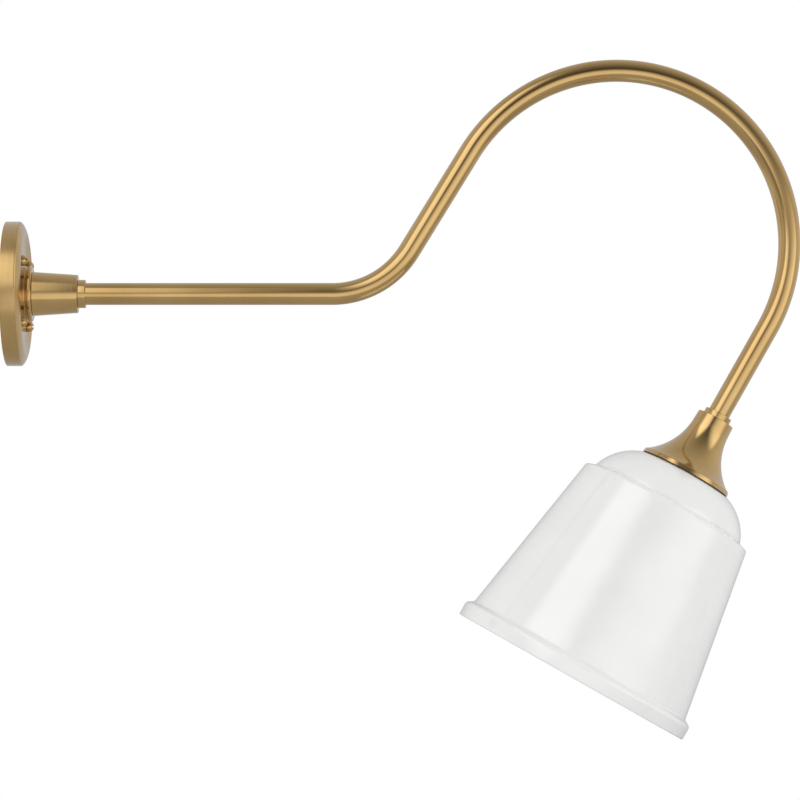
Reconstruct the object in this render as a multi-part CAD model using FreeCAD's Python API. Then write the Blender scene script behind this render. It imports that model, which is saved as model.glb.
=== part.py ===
"""Gooseneck wall sconce: a bent brass tube on a wall plate, holding a white glass shade.

Millimetres. The origin is the centre of the plate's back, on the wall. +X leads out of the
wall along the straight part of the arm, +Z is up, and the whole arm lies in the plane Y = 0.
Each sub-part is written to its own STEP file in parts/.
"""

import FreeCAD, Part
import math
import os

from FreeCAD import Placement, Rotation, Vector

# --- Arm: a 3/4 inch tube, seen from the wall outwards ----------------------------------
TUBE_R = 9.55
TUBE_WALL = 1.25
STRAIGHT_END = 283.0  # from the wall to the first bend
ELBOW_R = 78.6
RISE_ANGLE = 58.4  # of the sloping run, above the horizontal
RISE_LENGTH = 100.1
CROOK_R = 150.3
SHADE_TILT = 29.5  # of the shade's axis, away from the vertical
CROOK_TO_RIM = 347.9  # along the shade's axis, down to the plane of the glass rim

# --- Fits -------------------------------------------------------------------------------
SLIP = 0.05  # radial clearance of a piece that is seated in or on another
NIPPLE_R = 5.15  # hollow threaded nipple
NIPPLE_BORE_R = 3.4
NIPPLE_HOLE_R = 5.4
BROKEN_EDGE = 0.4  # cut straight, where the next two are rounds
SOFT_EDGE = 0.8
FULL_EDGE = 1.6
THROUGH = 1.0  # how far a cutting tool runs past a face
VOLUME_TOLERANCE = 0.005  # of a swept bar, as a share of its section times its length

# --- Wall plate: distances from the wall ------------------------------------------------
PLATE_R = 62.6
PLATE_RIM_DEPTH = 12.6
PLATE_STEP_R = 61.7  # the fine step where the rim turns into the bevel
PLATE_STEP_DEPTH = 13.5
PLATE_CREST_R = 53.5
PLATE_CREST_DEPTH = 17.1
PLATE_BEVEL_R = 18.0  # the bevel is slightly full
PLATE_CREST_WIDTH = 1.0
PLATE_FIELD_R = 45.0
PLATE_FIELD_DEPTH = 14.6
PLATE_FIELD_ROUND = 3.0
PLATE_WALL = 2.4

BRACKET_R = 52.0
BRACKET_THICK = 2.0
BRACKET_OPENING_R = 16.0
BOX_SCREW_SPACING = 79.4  # midway between the two common wall-box spacings
BOX_SLOT_LENGTH = 14.5
BOX_SLOT_R = 2.5
TAPPED_COLLAR_R = 3.6
TAPPED_COLLAR_HEIGHT = 2.5

PLATE_SCREW_CIRCLE_R = 37.5
PLATE_SCREW_COUNT = 4
PLATE_SCREW_FIRST_ANGLE = 45.0
PLATE_SCREW_SHANK_R = 2.0
PLATE_SCREW_HOLE_R = 2.3
PLATE_SCREW_HEAD_R = 4.6
PLATE_SCREW_NECK = 1.6
PLATE_SCREW_TIP = 0.5
SCREW_SLOT_WIDTH = 1.3
SCREW_SLOT_DEPTH = 2.2
SCREW_SLOT_ANGLES = (8.0, 52.0, -20.0, 84.0)  # screws stop where they are tight

GROUND_SCREW_Z = 26.0
GROUND_SCREW_R = 1.8
GROUND_SCREW_TIP = 0.3
GROUND_SCREW_FLAT = 6.4
GROUND_SCREW_WASHER_R = 4.4
GROUND_SCREW_WASHER = 0.8
GROUND_SCREW_HEAD = 2.6

# --- Hub --------------------------------------------------------------------------------
BASE_R = 24.2
BASE_DISC_TOP = 17.4
BASE_GROOVE_R = 22.2
BASE_GROOVE = 18.2
BASE_BEAD_FOOT = 19.4
BASE_TOP = 22.7
HUB_ROOT_R = 19.15
HUB_NOSE_R = 16.5
HUB_NOSE = 61.9
HUB_WEB = 26.0  # the web that the nipple passes starts here
TUBE_START = 32.0
HUB_POCKET_R = 13.0
COLLAR_R = 12.25
HUB_COLLAR_END = 68.5
PLUG_LENGTH = 16.0
WASHER_R = 9.0
WASHER_THICK = 1.0
NUT_FLAT = 14.3
NUT_THICK = 3.8
NUT_BEVEL = 0.6
WALL_NIPPLE_START = 6.9
NIPPLE_GRIP = 12.0  # how far a nipple reaches into a plug

# --- Glass shade: (radius, distance above the rim's plane) -------------------------------
LIP_R = 110.75
LIP_TURN = 12.8  # where the upright lip turns in
LIP_ROUND = 4.5
LIP_FOOT = 16.2  # where the lip runs out on the cone
LIP_FOOT_ROUND = 3.0
CONE_FOOT_R = 104.56
CONE_TOP_R = 79.15
CONE_TOP = 169.0
SHOULDER_ROUND = 2.4
DOME_FOOT_R = 71.0
DOME_FOOT = 171.7
DOME_FOOT_ROUND = 1.2
DOME_RISE_START = 1.0  # short upright at the dome's foot
DOME_ARC_R = 47.0
DOME_TOP_R = 42.8
GLASS_TOP = 201.2
GLASS_WALL = 3.6
GLASS_HOLE_R = 21.5
RIM_ROUND = 1.4

# --- Shade holder and socket: distances above the holder's flange -------------------------
FLANGE_ABOVE_RIM = 202.4
FLANGE_FOOT_R = 41.6
FLANGE_TOP_R = 40.7
FLANGE_HEIGHT = 3.6
FLANGE_ROUND = 0.9
FLARE_FOOT_R = 38.2
FLARE_FOOT = 5.2
FLARE_ARC_R = 54.0
FLARE_TOP_R = 17.05
FLARE_TOP = 45.5
HOLDER_TOP_R = 16.6
HOLDER_TOP = 55.1
HOLDER_WALL = 2.0
HOLDER_MOUTH_R = 36.0
HOLDER_ROOF = 38.0
TUBE_END = 43.5
HOLDER_COLLAR_TOP = 60.3
HOLDER_NIPPLE_FOOT = 27.5

GASKET_INNER_R = 30.0
GASKET_OUTER_R = 40.4
RING_GASKET_THICK = 1.0
RING_GASKET_INNER_R = 20.6
RING_GASKET_OUTER_R = 29.0
RING_FLANGE_R = 30.0
RING_FLANGE = 2.4
RING_BODY_R = 25.5
RING_HEIGHT = 8.0
RING_SCALLOPS = 12
RING_SCALLOP_R = 3.4
RING_SCALLOP_DEPTH = 1.1

SOCKET_SKIRT_R = 19.6
SOCKET_MOUTH = -27.0
SOCKET_SHOULDER = 8.0
SOCKET_NECK_R = 15.4
SOCKET_TOP = 23.0
SOCKET_BORE_R = 13.75
SOCKET_FLOOR = -1.0
SOCKET_CHAMBER_R = 12.0
SOCKET_CHAMBER_FLOOR = 14.0
SHELL_R = 13.2  # inside the lamp screw shell, at the thread's major radius
SHELL_WALL = 0.45
SHELL_FOOT = -26.0
SHELL_TOP = -5.0
CONTACT_R = 4.2
CONTACT_THICK = 1.4
CONTACT_RISE = 1.3
POST_OFFSET = 6.6
POST_R = 2.9
POST_HEIGHT = 4.0
CAP_WALL = 1.2
CAP_DEPTH = 5.0
CAP_HUB_R = 8.4
CAP_HUB_TOP = 31.0

# --- Wires ------------------------------------------------------------------------------
WIRE_R = 1.1
WIRE_OFFSET = 1.4  # each side of the tube's axis
WIRE_LAYER = 3.7  # how far from the wall the leads lie in the plate
WIRE_BEND_R = 4.8
LEAD_LENGTH = 34.0
SPLAY_TOP = 23.6
SPLAY_FOOT = 19.6
SPLAY_BEND_R = 2.6
GROUND_LOOP_R = 3.1
GROUND_LEAD_Y = 30.0

UP = Vector(0, 0, 1)
ORIGIN = Vector(0, 0, 0)


# --- Outlines ---------------------------------------------------------------------------
def rounded_path(corners, closed=False):
    """Edges through corners given as (point, radius): 0 leaves a corner sharp.

    A corner of BROKEN_EDGE is cut straight, as with a file, and a larger one is rounded.
    """
    count = len(corners)
    entries, exits, arcs = [], [], []
    for index, (corner, radius) in enumerate(corners):
        is_end = not closed and index in (0, count - 1)
        if radius == 0 or is_end:
            entries.append(corner)
            exits.append(corner)
            arcs.append(None)
            continue
        back = (corners[index - 1][0] - corner).normalize()
        ahead = (corners[(index + 1) % count][0] - corner).normalize()
        half = back.getAngle(ahead) / 2
        reach = radius / math.tan(half)
        start = corner + back * reach
        end = corner + ahead * reach
        middle = corner + (back + ahead).normalize() * (radius / math.sin(half) - radius)
        entries.append(start)
        exits.append(end)
        if radius == BROKEN_EDGE:
            arcs.append(Part.LineSegment(start, end).toShape())
        else:
            arcs.append(Part.Arc(start, middle, end).toShape())
    edges = []
    for index in range(count):
        if arcs[index] is not None:
            edges.append(arcs[index])
        following = (index + 1) % count
        if following == 0 and not closed:
            break
        edges.append(Part.LineSegment(exits[index], entries[following]).toShape())
    return edges


def arc_between(start, end, radius, bulge):
    """The arc from start to end that bulges towards the side where the point bulge lies."""
    chord = end - start
    middle = (start + end) / 2
    outward = bulge - middle
    outward = (outward - chord * (outward.dot(chord) / chord.dot(chord))).normalize()
    rise = radius - math.sqrt(radius**2 - (chord.Length / 2) ** 2)
    return Part.Arc(start, middle + outward * rise, end).toShape()


def profile(*corners):
    """Corners of a turned outline, given as (radius, height) or (radius, height, round)."""
    return [(Vector(c[0], 0, c[1]), c[2] if len(c) > 2 else 0) for c in corners]


def turned(edges):
    """A turned piece about the Z axis, from the edges of its half outline."""
    face = Part.Face(Part.Wire(edges))
    return face.revolve(ORIGIN, UP, 360)


def turned_from(*corners):
    return turned(rounded_path(profile(*corners), closed=True))


def ring(inner_r, outer_r, foot, top, edge=0):
    """A plain turned ring, with its two outer edges rounded or cut by edge."""
    return turned_from(
        (inner_r, foot), (outer_r, foot, edge), (outer_r, top, edge), (inner_r, top)
    )


def rod(radius, foot, top, x=0.0, y=0.0):
    return Part.makeCylinder(radius, top - foot, Vector(x, y, foot))


def hexagon(across_flats, foot, top):
    corner_r = across_flats / 2 / math.cos(math.pi / 6)
    corners = []
    for step in range(6):
        angle = math.radians(60 * step)
        corners.append(Vector(corner_r * math.cos(angle), corner_r * math.sin(angle), foot))
    face = Part.Face(Part.makePolygon(corners + corners[:1]))
    return face.extrude(Vector(0, 0, top - foot))


# --- Places -----------------------------------------------------------------------------
def direction(angle):
    """The direction in the arm's plane at this angle above +X, in degrees."""
    return Vector(math.cos(math.radians(angle)), 0, math.sin(math.radians(angle)))


RISE = direction(RISE_ANGLE)
SHADE_UP = direction(90 - SHADE_TILT)
ELBOW_START = Vector(STRAIGHT_END, 0, 0)
ELBOW_CENTRE = ELBOW_START + Vector(0, 0, ELBOW_R)
ELBOW_END = ELBOW_CENTRE + direction(RISE_ANGLE - 90) * ELBOW_R
CROOK_START = ELBOW_END + RISE * RISE_LENGTH
CROOK_CENTRE = CROOK_START + direction(RISE_ANGLE - 90) * CROOK_R
CROOK_END = CROOK_CENTRE + direction(-SHADE_TILT) * CROOK_R
RIM_CENTRE = CROOK_END - SHADE_UP * CROOK_TO_RIM
FLANGE_CENTRE = RIM_CENTRE + SHADE_UP * FLANGE_ABOVE_RIM

WALL_PLACE = Placement(ORIGIN, Rotation(Vector(0, 1, 0), 90))
RIM_PLACE = Placement(RIM_CENTRE, Rotation(Vector(0, 1, 0), SHADE_TILT))
FLANGE_PLACE = Placement(FLANGE_CENTRE, Rotation(Vector(0, 1, 0), SHADE_TILT))


def placed(shape, place):
    """A piece made about the Z axis, moved on to the wall's or the shade's axis."""
    result = shape.copy()
    result.Placement = place.multiply(shape.Placement)
    return result


def on_circle(shape, radius, count, first_angle):
    """Copies of a piece, evenly spaced on a circle about the Z axis."""
    copies = []
    for step in range(count):
        angle = first_angle + 360 / count * step
        copy = shape.copy()
        copy.Placement = Placement(Vector(radius, 0, 0), Rotation()).multiply(copy.Placement)
        copy.rotate(ORIGIN, UP, angle)
        copies.append(copy)
    return copies


# --- The arm ----------------------------------------------------------------------------
def bend_edges():
    """The two bends of the arm with the sloping run between them."""
    half_rise = direction(RISE_ANGLE / 2 - 90)
    crook_middle = direction((RISE_ANGLE + 90 - SHADE_TILT) / 2)
    return [
        Part.Arc(ELBOW_START, ELBOW_CENTRE + half_rise * ELBOW_R, ELBOW_END).toShape(),
        Part.LineSegment(ELBOW_END, CROOK_START).toShape(),
        Part.Arc(CROOK_START, CROOK_CENTRE + crook_middle * CROOK_R, CROOK_END).toShape(),
    ]


def swept(edges, radius):
    """A round bar of this radius along a smooth route, checked against its length."""
    route = Part.Wire(edges)
    start = edges[0].valueAt(edges[0].FirstParameter)
    heading = edges[0].tangentAt(edges[0].FirstParameter)
    section = Part.Wire(Part.makeCircle(radius, start, heading))
    bar = route.makePipeShell([section], True, False)
    expected = math.pi * radius**2 * route.Length
    if abs(bar.Volume / expected - 1) > VOLUME_TOLERANCE:
        raise ValueError("a swept bar has the wrong volume")
    return bar


def arm_tube():
    start = Vector(TUBE_START, 0, 0)
    end = FLANGE_CENTRE + SHADE_UP * TUBE_END
    edges = [Part.LineSegment(start, ELBOW_START).toShape()]
    edges += bend_edges()
    edges.append(Part.LineSegment(CROOK_END, end).toShape())
    return swept(edges, TUBE_R).cut(swept(edges, TUBE_R - TUBE_WALL))


def end_plug(foot, top):
    """A threaded insert that is brazed into an end of the tube."""
    return ring(NIPPLE_R + SLIP, TUBE_R - TUBE_WALL - SLIP, foot, top)


def nipple(foot, top):
    return ring(NIPPLE_BORE_R, NIPPLE_R, foot, top)


def collar(foot, top):
    return ring(TUBE_R + SLIP, COLLAR_R, foot, top, BROKEN_EDGE)


def washer(foot):
    return ring(NIPPLE_HOLE_R, WASHER_R, foot, foot + WASHER_THICK)


def nut(foot):
    """A hexagon nut whose upper corners are turned off."""
    top = foot + NUT_THICK
    blank = hexagon(NUT_FLAT, foot, top)
    corner_r = NUT_FLAT / 2 / math.cos(math.pi / 6)
    cone = turned_from(
        (0, foot), (corner_r, foot), (corner_r, top - NUT_BEVEL), (NUT_FLAT / 2, top), (0, top)
    )
    return blank.common(cone).cut(rod(NIPPLE_R + SLIP, foot - THROUGH, top + THROUGH))


# --- Wall side --------------------------------------------------------------------------
def backplate():
    bevel_start = Vector(PLATE_STEP_R, 0, PLATE_STEP_DEPTH)
    crest = Vector(PLATE_CREST_R, 0, PLATE_CREST_DEPTH)
    rim = rounded_path(
        profile(
            (PLATE_R - PLATE_WALL, 0),
            (PLATE_R, 0, BROKEN_EDGE),
            (PLATE_R, PLATE_RIM_DEPTH, BROKEN_EDGE),
            (PLATE_STEP_R, PLATE_RIM_DEPTH),
            (PLATE_STEP_R, PLATE_STEP_DEPTH),
        )
    )
    bevel = arc_between(bevel_start, crest, PLATE_BEVEL_R, Vector(PLATE_R, 0, PLATE_CREST_DEPTH))
    face = rounded_path(
        profile(
            (PLATE_CREST_R, PLATE_CREST_DEPTH),
            (PLATE_CREST_R - PLATE_CREST_WIDTH, PLATE_CREST_DEPTH, SOFT_EDGE),
            (PLATE_FIELD_R, PLATE_FIELD_DEPTH, PLATE_FIELD_ROUND),
            (NIPPLE_HOLE_R, PLATE_FIELD_DEPTH),
            (NIPPLE_HOLE_R, PLATE_FIELD_DEPTH - PLATE_WALL),
            (PLATE_FIELD_R, PLATE_FIELD_DEPTH - PLATE_WALL, PLATE_FIELD_ROUND),
            (PLATE_CREST_R - PLATE_CREST_WIDTH, PLATE_CREST_DEPTH - PLATE_WALL),
            (PLATE_R - PLATE_WALL, PLATE_RIM_DEPTH - PLATE_WALL / 2),
            (PLATE_R - PLATE_WALL, 0),
        )
    )
    dish = turned(rim + [bevel] + face)
    drill = rod(PLATE_SCREW_HOLE_R, 0, PLATE_CREST_DEPTH)
    holes = on_circle(drill, PLATE_SCREW_CIRCLE_R, PLATE_SCREW_COUNT, PLATE_SCREW_FIRST_ANGLE)
    return placed(dish.cut(holes), WALL_PLACE)


def backplate_screws():
    """Round-head screws: a short neck under a half ball, each with a slot at its own angle."""
    head_foot = PLATE_FIELD_DEPTH
    neck_top = head_foot + PLATE_SCREW_NECK
    crown = neck_top + PLATE_SCREW_HEAD_R
    edges = rounded_path(
        profile(
            (0, crown),
            (0, PLATE_SCREW_TIP),
            (PLATE_SCREW_SHANK_R, PLATE_SCREW_TIP, BROKEN_EDGE),
            (PLATE_SCREW_SHANK_R, head_foot),
            (PLATE_SCREW_HEAD_R, head_foot, BROKEN_EDGE),
            (PLATE_SCREW_HEAD_R, neck_top),
        )
    )
    dome_centre = Vector(0, 0, neck_top)
    dome_start = dome_centre + Vector(PLATE_SCREW_HEAD_R, 0, 0)
    dome_middle = dome_centre + direction(45) * PLATE_SCREW_HEAD_R
    edges.append(Part.Arc(dome_start, dome_middle, Vector(0, 0, crown)).toShape())
    blank = turned(edges)
    reach = PLATE_SCREW_HEAD_R + THROUGH
    corner = Vector(-reach, -SCREW_SLOT_WIDTH / 2, crown - SCREW_SLOT_DEPTH)
    slot = Part.makeBox(2 * reach, SCREW_SLOT_WIDTH, SCREW_SLOT_DEPTH + THROUGH, corner)
    screws = []
    for step in range(PLATE_SCREW_COUNT):
        cutter = slot.copy()
        cutter.rotate(ORIGIN, UP, SCREW_SLOT_ANGLES[step])
        angle = PLATE_SCREW_FIRST_ANGLE + 360 / PLATE_SCREW_COUNT * step
        screws += on_circle(blank.cut(cutter), PLATE_SCREW_CIRCLE_R, 1, angle)
    return placed(Part.makeCompound(screws), WALL_PLACE)


def slot_prism(length, radius, top):
    """A round-ended slot along Y, centred on the Z axis."""
    straight = length / 2 - radius
    bar = Part.makeBox(2 * radius, 2 * straight, top, Vector(-radius, -straight, 0))
    ends = [rod(radius, 0, top, y=side * straight) for side in (-1, 1)]
    return bar.fuse(ends).removeSplitter()


def wall_bracket():
    """A round strap plate: wire opening, two box-screw slots, four tapped collars."""
    plate = ring(BRACKET_OPENING_R, BRACKET_R, 0, BRACKET_THICK)
    collar_top = BRACKET_THICK + TAPPED_COLLAR_HEIGHT
    boss = rod(TAPPED_COLLAR_R, 0, collar_top)
    tap = rod(PLATE_SCREW_SHANK_R + SLIP, -THROUGH, collar_top + THROUGH)
    pattern = (PLATE_SCREW_CIRCLE_R, PLATE_SCREW_COUNT, PLATE_SCREW_FIRST_ANGLE)
    plate = plate.fuse(on_circle(boss, *pattern)).removeSplitter()
    cutters = on_circle(tap, *pattern)
    for side in (-1, 1):
        slot = slot_prism(BOX_SLOT_LENGTH, BOX_SLOT_R, BRACKET_THICK)
        slot.translate(Vector(0, side * BOX_SCREW_SPACING / 2, 0))
        cutters.append(slot)
    cutters.append(rod(GROUND_SCREW_R + SLIP, 0, BRACKET_THICK, x=-GROUND_SCREW_Z))
    return placed(plate.cut(cutters), WALL_PLACE)


def ground_screw():
    washer_top = BRACKET_THICK + 2 * WIRE_R + GROUND_SCREW_WASHER
    shank = rod(GROUND_SCREW_R, GROUND_SCREW_TIP, washer_top)
    flange = rod(GROUND_SCREW_WASHER_R, washer_top - GROUND_SCREW_WASHER, washer_top)
    head = hexagon(GROUND_SCREW_FLAT, washer_top, washer_top + GROUND_SCREW_HEAD)
    screw = shank.fuse([flange, head]).removeSplitter()
    screw.translate(Vector(-GROUND_SCREW_Z, 0, 0))
    return placed(screw, WALL_PLACE)


def hub_base():
    return placed(
        turned_from(
            (NIPPLE_HOLE_R, PLATE_FIELD_DEPTH),
            (BASE_R, PLATE_FIELD_DEPTH),
            (BASE_R, BASE_DISC_TOP, SOFT_EDGE),
            (BASE_GROOVE_R, BASE_GROOVE, BROKEN_EDGE),
            (BASE_R, BASE_BEAD_FOOT, SOFT_EDGE),
            (BASE_R, BASE_TOP, FULL_EDGE),
            (NIPPLE_HOLE_R, BASE_TOP),
        ),
        WALL_PLACE,
    )


def hub():
    return placed(
        turned_from(
            (HUB_POCKET_R, BASE_TOP),
            (HUB_ROOT_R, BASE_TOP, BROKEN_EDGE),
            (HUB_NOSE_R, HUB_NOSE, BROKEN_EDGE),
            (TUBE_R + SLIP, HUB_NOSE),
            (TUBE_R + SLIP, TUBE_START),
            (NIPPLE_HOLE_R, TUBE_START),
            (NIPPLE_HOLE_R, HUB_WEB),
            (HUB_POCKET_R, HUB_WEB),
        ),
        WALL_PLACE,
    )


# --- Shade side: made about the Z axis with the flange's plane at height 0 ---------------
def shade_holder():
    """A bell with an even wall: flange, flare and straight neck bored for the tube."""
    flare_foot = Vector(FLARE_FOOT_R, 0, FLARE_FOOT)
    flare_top = Vector(FLARE_TOP_R, 0, FLARE_TOP)
    flange = rounded_path(
        profile(
            (HOLDER_MOUTH_R, 0),
            (FLANGE_FOOT_R, 0),
            (FLANGE_TOP_R, FLANGE_HEIGHT, FLANGE_ROUND),
            (FLARE_FOOT_R, FLARE_FOOT),
        )
    )
    flare = arc_between(flare_foot, flare_top, FLARE_ARC_R, ORIGIN)
    centre = flare.Curve.Center
    inner_r = FLARE_ARC_R + HOLDER_WALL

    def inner_point_at(height):
        """Where the inside of the wall, an arc about the flare's own centre, has this height."""
        return Vector(centre.x - math.sqrt(inner_r**2 - (centre.z - height) ** 2), 0, height)

    roof_edge = inner_point_at(HOLDER_ROOF)
    mouth_height = centre.z - math.sqrt(inner_r**2 - (centre.x - HOLDER_MOUTH_R) ** 2)
    mouth_edge = Vector(HOLDER_MOUTH_R, 0, mouth_height)
    neck = rounded_path(
        profile(
            (FLARE_TOP_R, FLARE_TOP),
            (HOLDER_TOP_R, HOLDER_TOP, BROKEN_EDGE),
            (TUBE_R + SLIP, HOLDER_TOP),
            (TUBE_R + SLIP, TUBE_END),
            (NIPPLE_HOLE_R, TUBE_END),
            (NIPPLE_HOLE_R, HOLDER_ROOF),
            (roof_edge.x, HOLDER_ROOF),
        )
    )
    inside = arc_between(roof_edge, mouth_edge, inner_r, ORIGIN)
    closing = Part.LineSegment(mouth_edge, Vector(HOLDER_MOUTH_R, 0, 0)).toShape()
    return placed(turned(flange + [flare] + neck + [inside, closing]), FLANGE_PLACE)


def socket_body():
    """The porcelain socket: threaded skirt below, chamber for the terminals above."""
    return placed(
        turned_from(
            (0, SOCKET_FLOOR),
            (SOCKET_BORE_R, SOCKET_FLOOR),
            (SOCKET_BORE_R, SOCKET_MOUTH),
            (SOCKET_SKIRT_R, SOCKET_MOUTH, SOFT_EDGE),
            (SOCKET_SKIRT_R, SOCKET_SHOULDER, FULL_EDGE),
            (SOCKET_NECK_R, SOCKET_SHOULDER, SOFT_EDGE),
            (SOCKET_NECK_R, SOCKET_TOP),
            (SOCKET_CHAMBER_R, SOCKET_TOP),
            (SOCKET_CHAMBER_R, SOCKET_CHAMBER_FLOOR),
            (0, SOCKET_CHAMBER_FLOOR),
        ),
        FLANGE_PLACE,
    )


def socket_cap():
    """A drawn cap over the socket's neck, with a hub that is tapped for the nipple."""
    inner_r = SOCKET_NECK_R + SLIP
    bore_r = NIPPLE_R + SLIP
    return placed(
        turned_from(
            (inner_r, SOCKET_TOP - CAP_DEPTH),
            (inner_r + CAP_WALL, SOCKET_TOP - CAP_DEPTH),
            (inner_r + CAP_WALL, SOCKET_TOP + CAP_WALL, FULL_EDGE),
            (CAP_HUB_R, SOCKET_TOP + CAP_WALL, SOFT_EDGE),
            (CAP_HUB_R, CAP_HUB_TOP, BROKEN_EDGE),
            (bore_r, CAP_HUB_TOP),
            (bore_r, SOCKET_TOP),
            (inner_r, SOCKET_TOP),
        ),
        FLANGE_PLACE,
    )


def screw_shell():
    return placed(ring(SHELL_R, SHELL_R + SHELL_WALL, SHELL_FOOT, SHELL_TOP), FLANGE_PLACE)


def centre_contact():
    """The spring contact: a disc on the bore's floor with a round tip towards the lamp."""
    foot = SOCKET_FLOOR - CONTACT_THICK
    return placed(
        turned_from(
            (0, SOCKET_FLOOR),
            (CONTACT_R, SOCKET_FLOOR),
            (CONTACT_R, foot, BROKEN_EDGE),
            (CONTACT_R / 2, foot),
            (CONTACT_R / 3, foot - CONTACT_RISE, BROKEN_EDGE),
            (0, foot - CONTACT_RISE),
        ),
        FLANGE_PLACE,
    )


def terminal_posts():
    posts = []
    for side in (-1, 1):
        floor = SOCKET_CHAMBER_FLOOR
        posts.append(rod(POST_R, floor, floor + POST_HEIGHT, y=side * POST_OFFSET))
    return placed(Part.makeCompound(posts), FLANGE_PLACE)


def shade_ring():
    """The threaded ring under the glass: a broad flange on a body with finger scallops."""
    top = GLASS_TOP - FLANGE_ABOVE_RIM - GLASS_WALL - RING_GASKET_THICK
    foot = top - RING_HEIGHT
    blank = turned_from(
        (SOCKET_SKIRT_R + SLIP, top),
        (RING_FLANGE_R, top),
        (RING_FLANGE_R, top - RING_FLANGE, BROKEN_EDGE),
        (RING_BODY_R, top - RING_FLANGE, BROKEN_EDGE),
        (RING_BODY_R, foot, BROKEN_EDGE),
        (SOCKET_SKIRT_R + SLIP, foot),
    )
    scallop = rod(RING_SCALLOP_R, foot - THROUGH, top - RING_FLANGE)
    reach = RING_BODY_R + RING_SCALLOP_R - RING_SCALLOP_DEPTH
    cutters = on_circle(scallop, reach, RING_SCALLOPS, 0)
    return placed(blank.cut(cutters), FLANGE_PLACE)


def ring_gasket():
    top = GLASS_TOP - FLANGE_ABOVE_RIM - GLASS_WALL
    gasket = ring(RING_GASKET_INNER_R, RING_GASKET_OUTER_R, top - RING_GASKET_THICK, top)
    return placed(gasket, FLANGE_PLACE)


def flange_gasket():
    gasket = ring(GASKET_INNER_R, GASKET_OUTER_R, GLASS_TOP - FLANGE_ABOVE_RIM, 0)
    return placed(gasket, FLANGE_PLACE)


def glass_shade():
    """The shade: rolled lip, cone, shoulder, dome and the flat top that is clamped."""
    taper = (CONE_FOOT_R - CONE_TOP_R) / (CONE_TOP - LIP_FOOT)
    inner_rim_r = CONE_FOOT_R + taper * LIP_FOOT - GLASS_WALL
    rise_top = DOME_FOOT + DOME_RISE_START
    outer_foot = Vector(DOME_FOOT_R, 0, rise_top)
    outer_top = Vector(DOME_TOP_R, 0, GLASS_TOP)
    far_out = Vector(LIP_R, 0, GLASS_TOP)
    skirt = rounded_path(
        profile(
            (inner_rim_r + RIM_ROUND, 0),
            (LIP_R, 0, RIM_ROUND),
            (LIP_R, LIP_TURN, LIP_ROUND),
            (CONE_FOOT_R, LIP_FOOT, LIP_FOOT_ROUND),
            (CONE_TOP_R, CONE_TOP, SHOULDER_ROUND),
            (DOME_FOOT_R, DOME_FOOT, DOME_FOOT_ROUND),
            (DOME_FOOT_R, rise_top),
        )
    )
    dome = arc_between(outer_foot, outer_top, DOME_ARC_R, far_out)
    inner_foot = Vector(DOME_FOOT_R - GLASS_WALL, 0, rise_top)
    inner_top = Vector(DOME_TOP_R - GLASS_WALL, 0, GLASS_TOP - GLASS_WALL)
    inner_dome = arc_between(inner_top, inner_foot, DOME_ARC_R, far_out)
    crown = rounded_path(
        profile(
            (DOME_TOP_R, GLASS_TOP),
            (GLASS_HOLE_R, GLASS_TOP),
            (GLASS_HOLE_R, GLASS_TOP - GLASS_WALL),
            (inner_top.x, inner_top.z),
        )
    )
    inside = rounded_path(
        profile(
            (inner_foot.x, inner_foot.z),
            (inner_foot.x, DOME_FOOT - GLASS_WALL, DOME_FOOT_ROUND),
            (CONE_TOP_R - GLASS_WALL, CONE_TOP - GLASS_WALL, SHOULDER_ROUND),
            (inner_rim_r, RIM_ROUND, RIM_ROUND),
            (inner_rim_r + RIM_ROUND, 0),
        )
    )
    return placed(turned(skirt + [dome] + crown + [inner_dome] + inside), RIM_PLACE)


# --- Wires ------------------------------------------------------------------------------
def shifted(edges, offset):
    result = []
    for edge in edges:
        copy = edge.copy()
        copy.translate(Vector(0, offset, 0))
        result.append(copy)
    return result


def socket_wire(side):
    """One conductor: a lead in the plate, the run through the tube, the splay to its post."""
    across = side * WIRE_OFFSET
    lead_end = Vector(WIRE_LAYER, across, -LEAD_LENGTH)
    turn = Vector(WIRE_LAYER, across, 0)
    lead = rounded_path(
        [(lead_end, 0), (turn, WIRE_BEND_R), (ELBOW_START + Vector(0, across, 0), 0)]
    )

    def inside_socket(sideways, height):
        return FLANGE_CENTRE + SHADE_UP * height + Vector(0, sideways, 0)

    post_top = SOCKET_CHAMBER_FLOOR + POST_HEIGHT
    drop = rounded_path(
        [
            (CROOK_END + Vector(0, across, 0), 0),
            (inside_socket(across, SPLAY_TOP), SPLAY_BEND_R),
            (inside_socket(side * POST_OFFSET, SPLAY_FOOT), SPLAY_BEND_R),
            (inside_socket(side * POST_OFFSET, post_top), 0),
        ]
    )
    return swept(lead + shifted(bend_edges(), across) + drop, WIRE_R)


def ground_wire():
    """A lead hooked half round the ground screw, then laid across the bracket."""
    layer = BRACKET_THICK + WIRE_R
    centre = Vector(layer, 0, GROUND_SCREW_Z)
    hook_start = centre + Vector(0, -GROUND_LOOP_R, 0)
    hook_middle = centre + Vector(0, 0, GROUND_LOOP_R)
    hook_end = centre + Vector(0, GROUND_LOOP_R, 0)
    hook = Part.Arc(hook_start, hook_middle, hook_end).toShape()
    lead = rounded_path(
        [
            (hook_end, 0),
            (Vector(layer, GROUND_LOOP_R, GROUND_SCREW_Z - 3 * WIRE_BEND_R), WIRE_BEND_R),
            (Vector(layer, GROUND_LEAD_Y, GROUND_SCREW_Z - 4 * WIRE_BEND_R), 0),
        ]
    )
    return swept([hook] + lead, WIRE_R)


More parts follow.
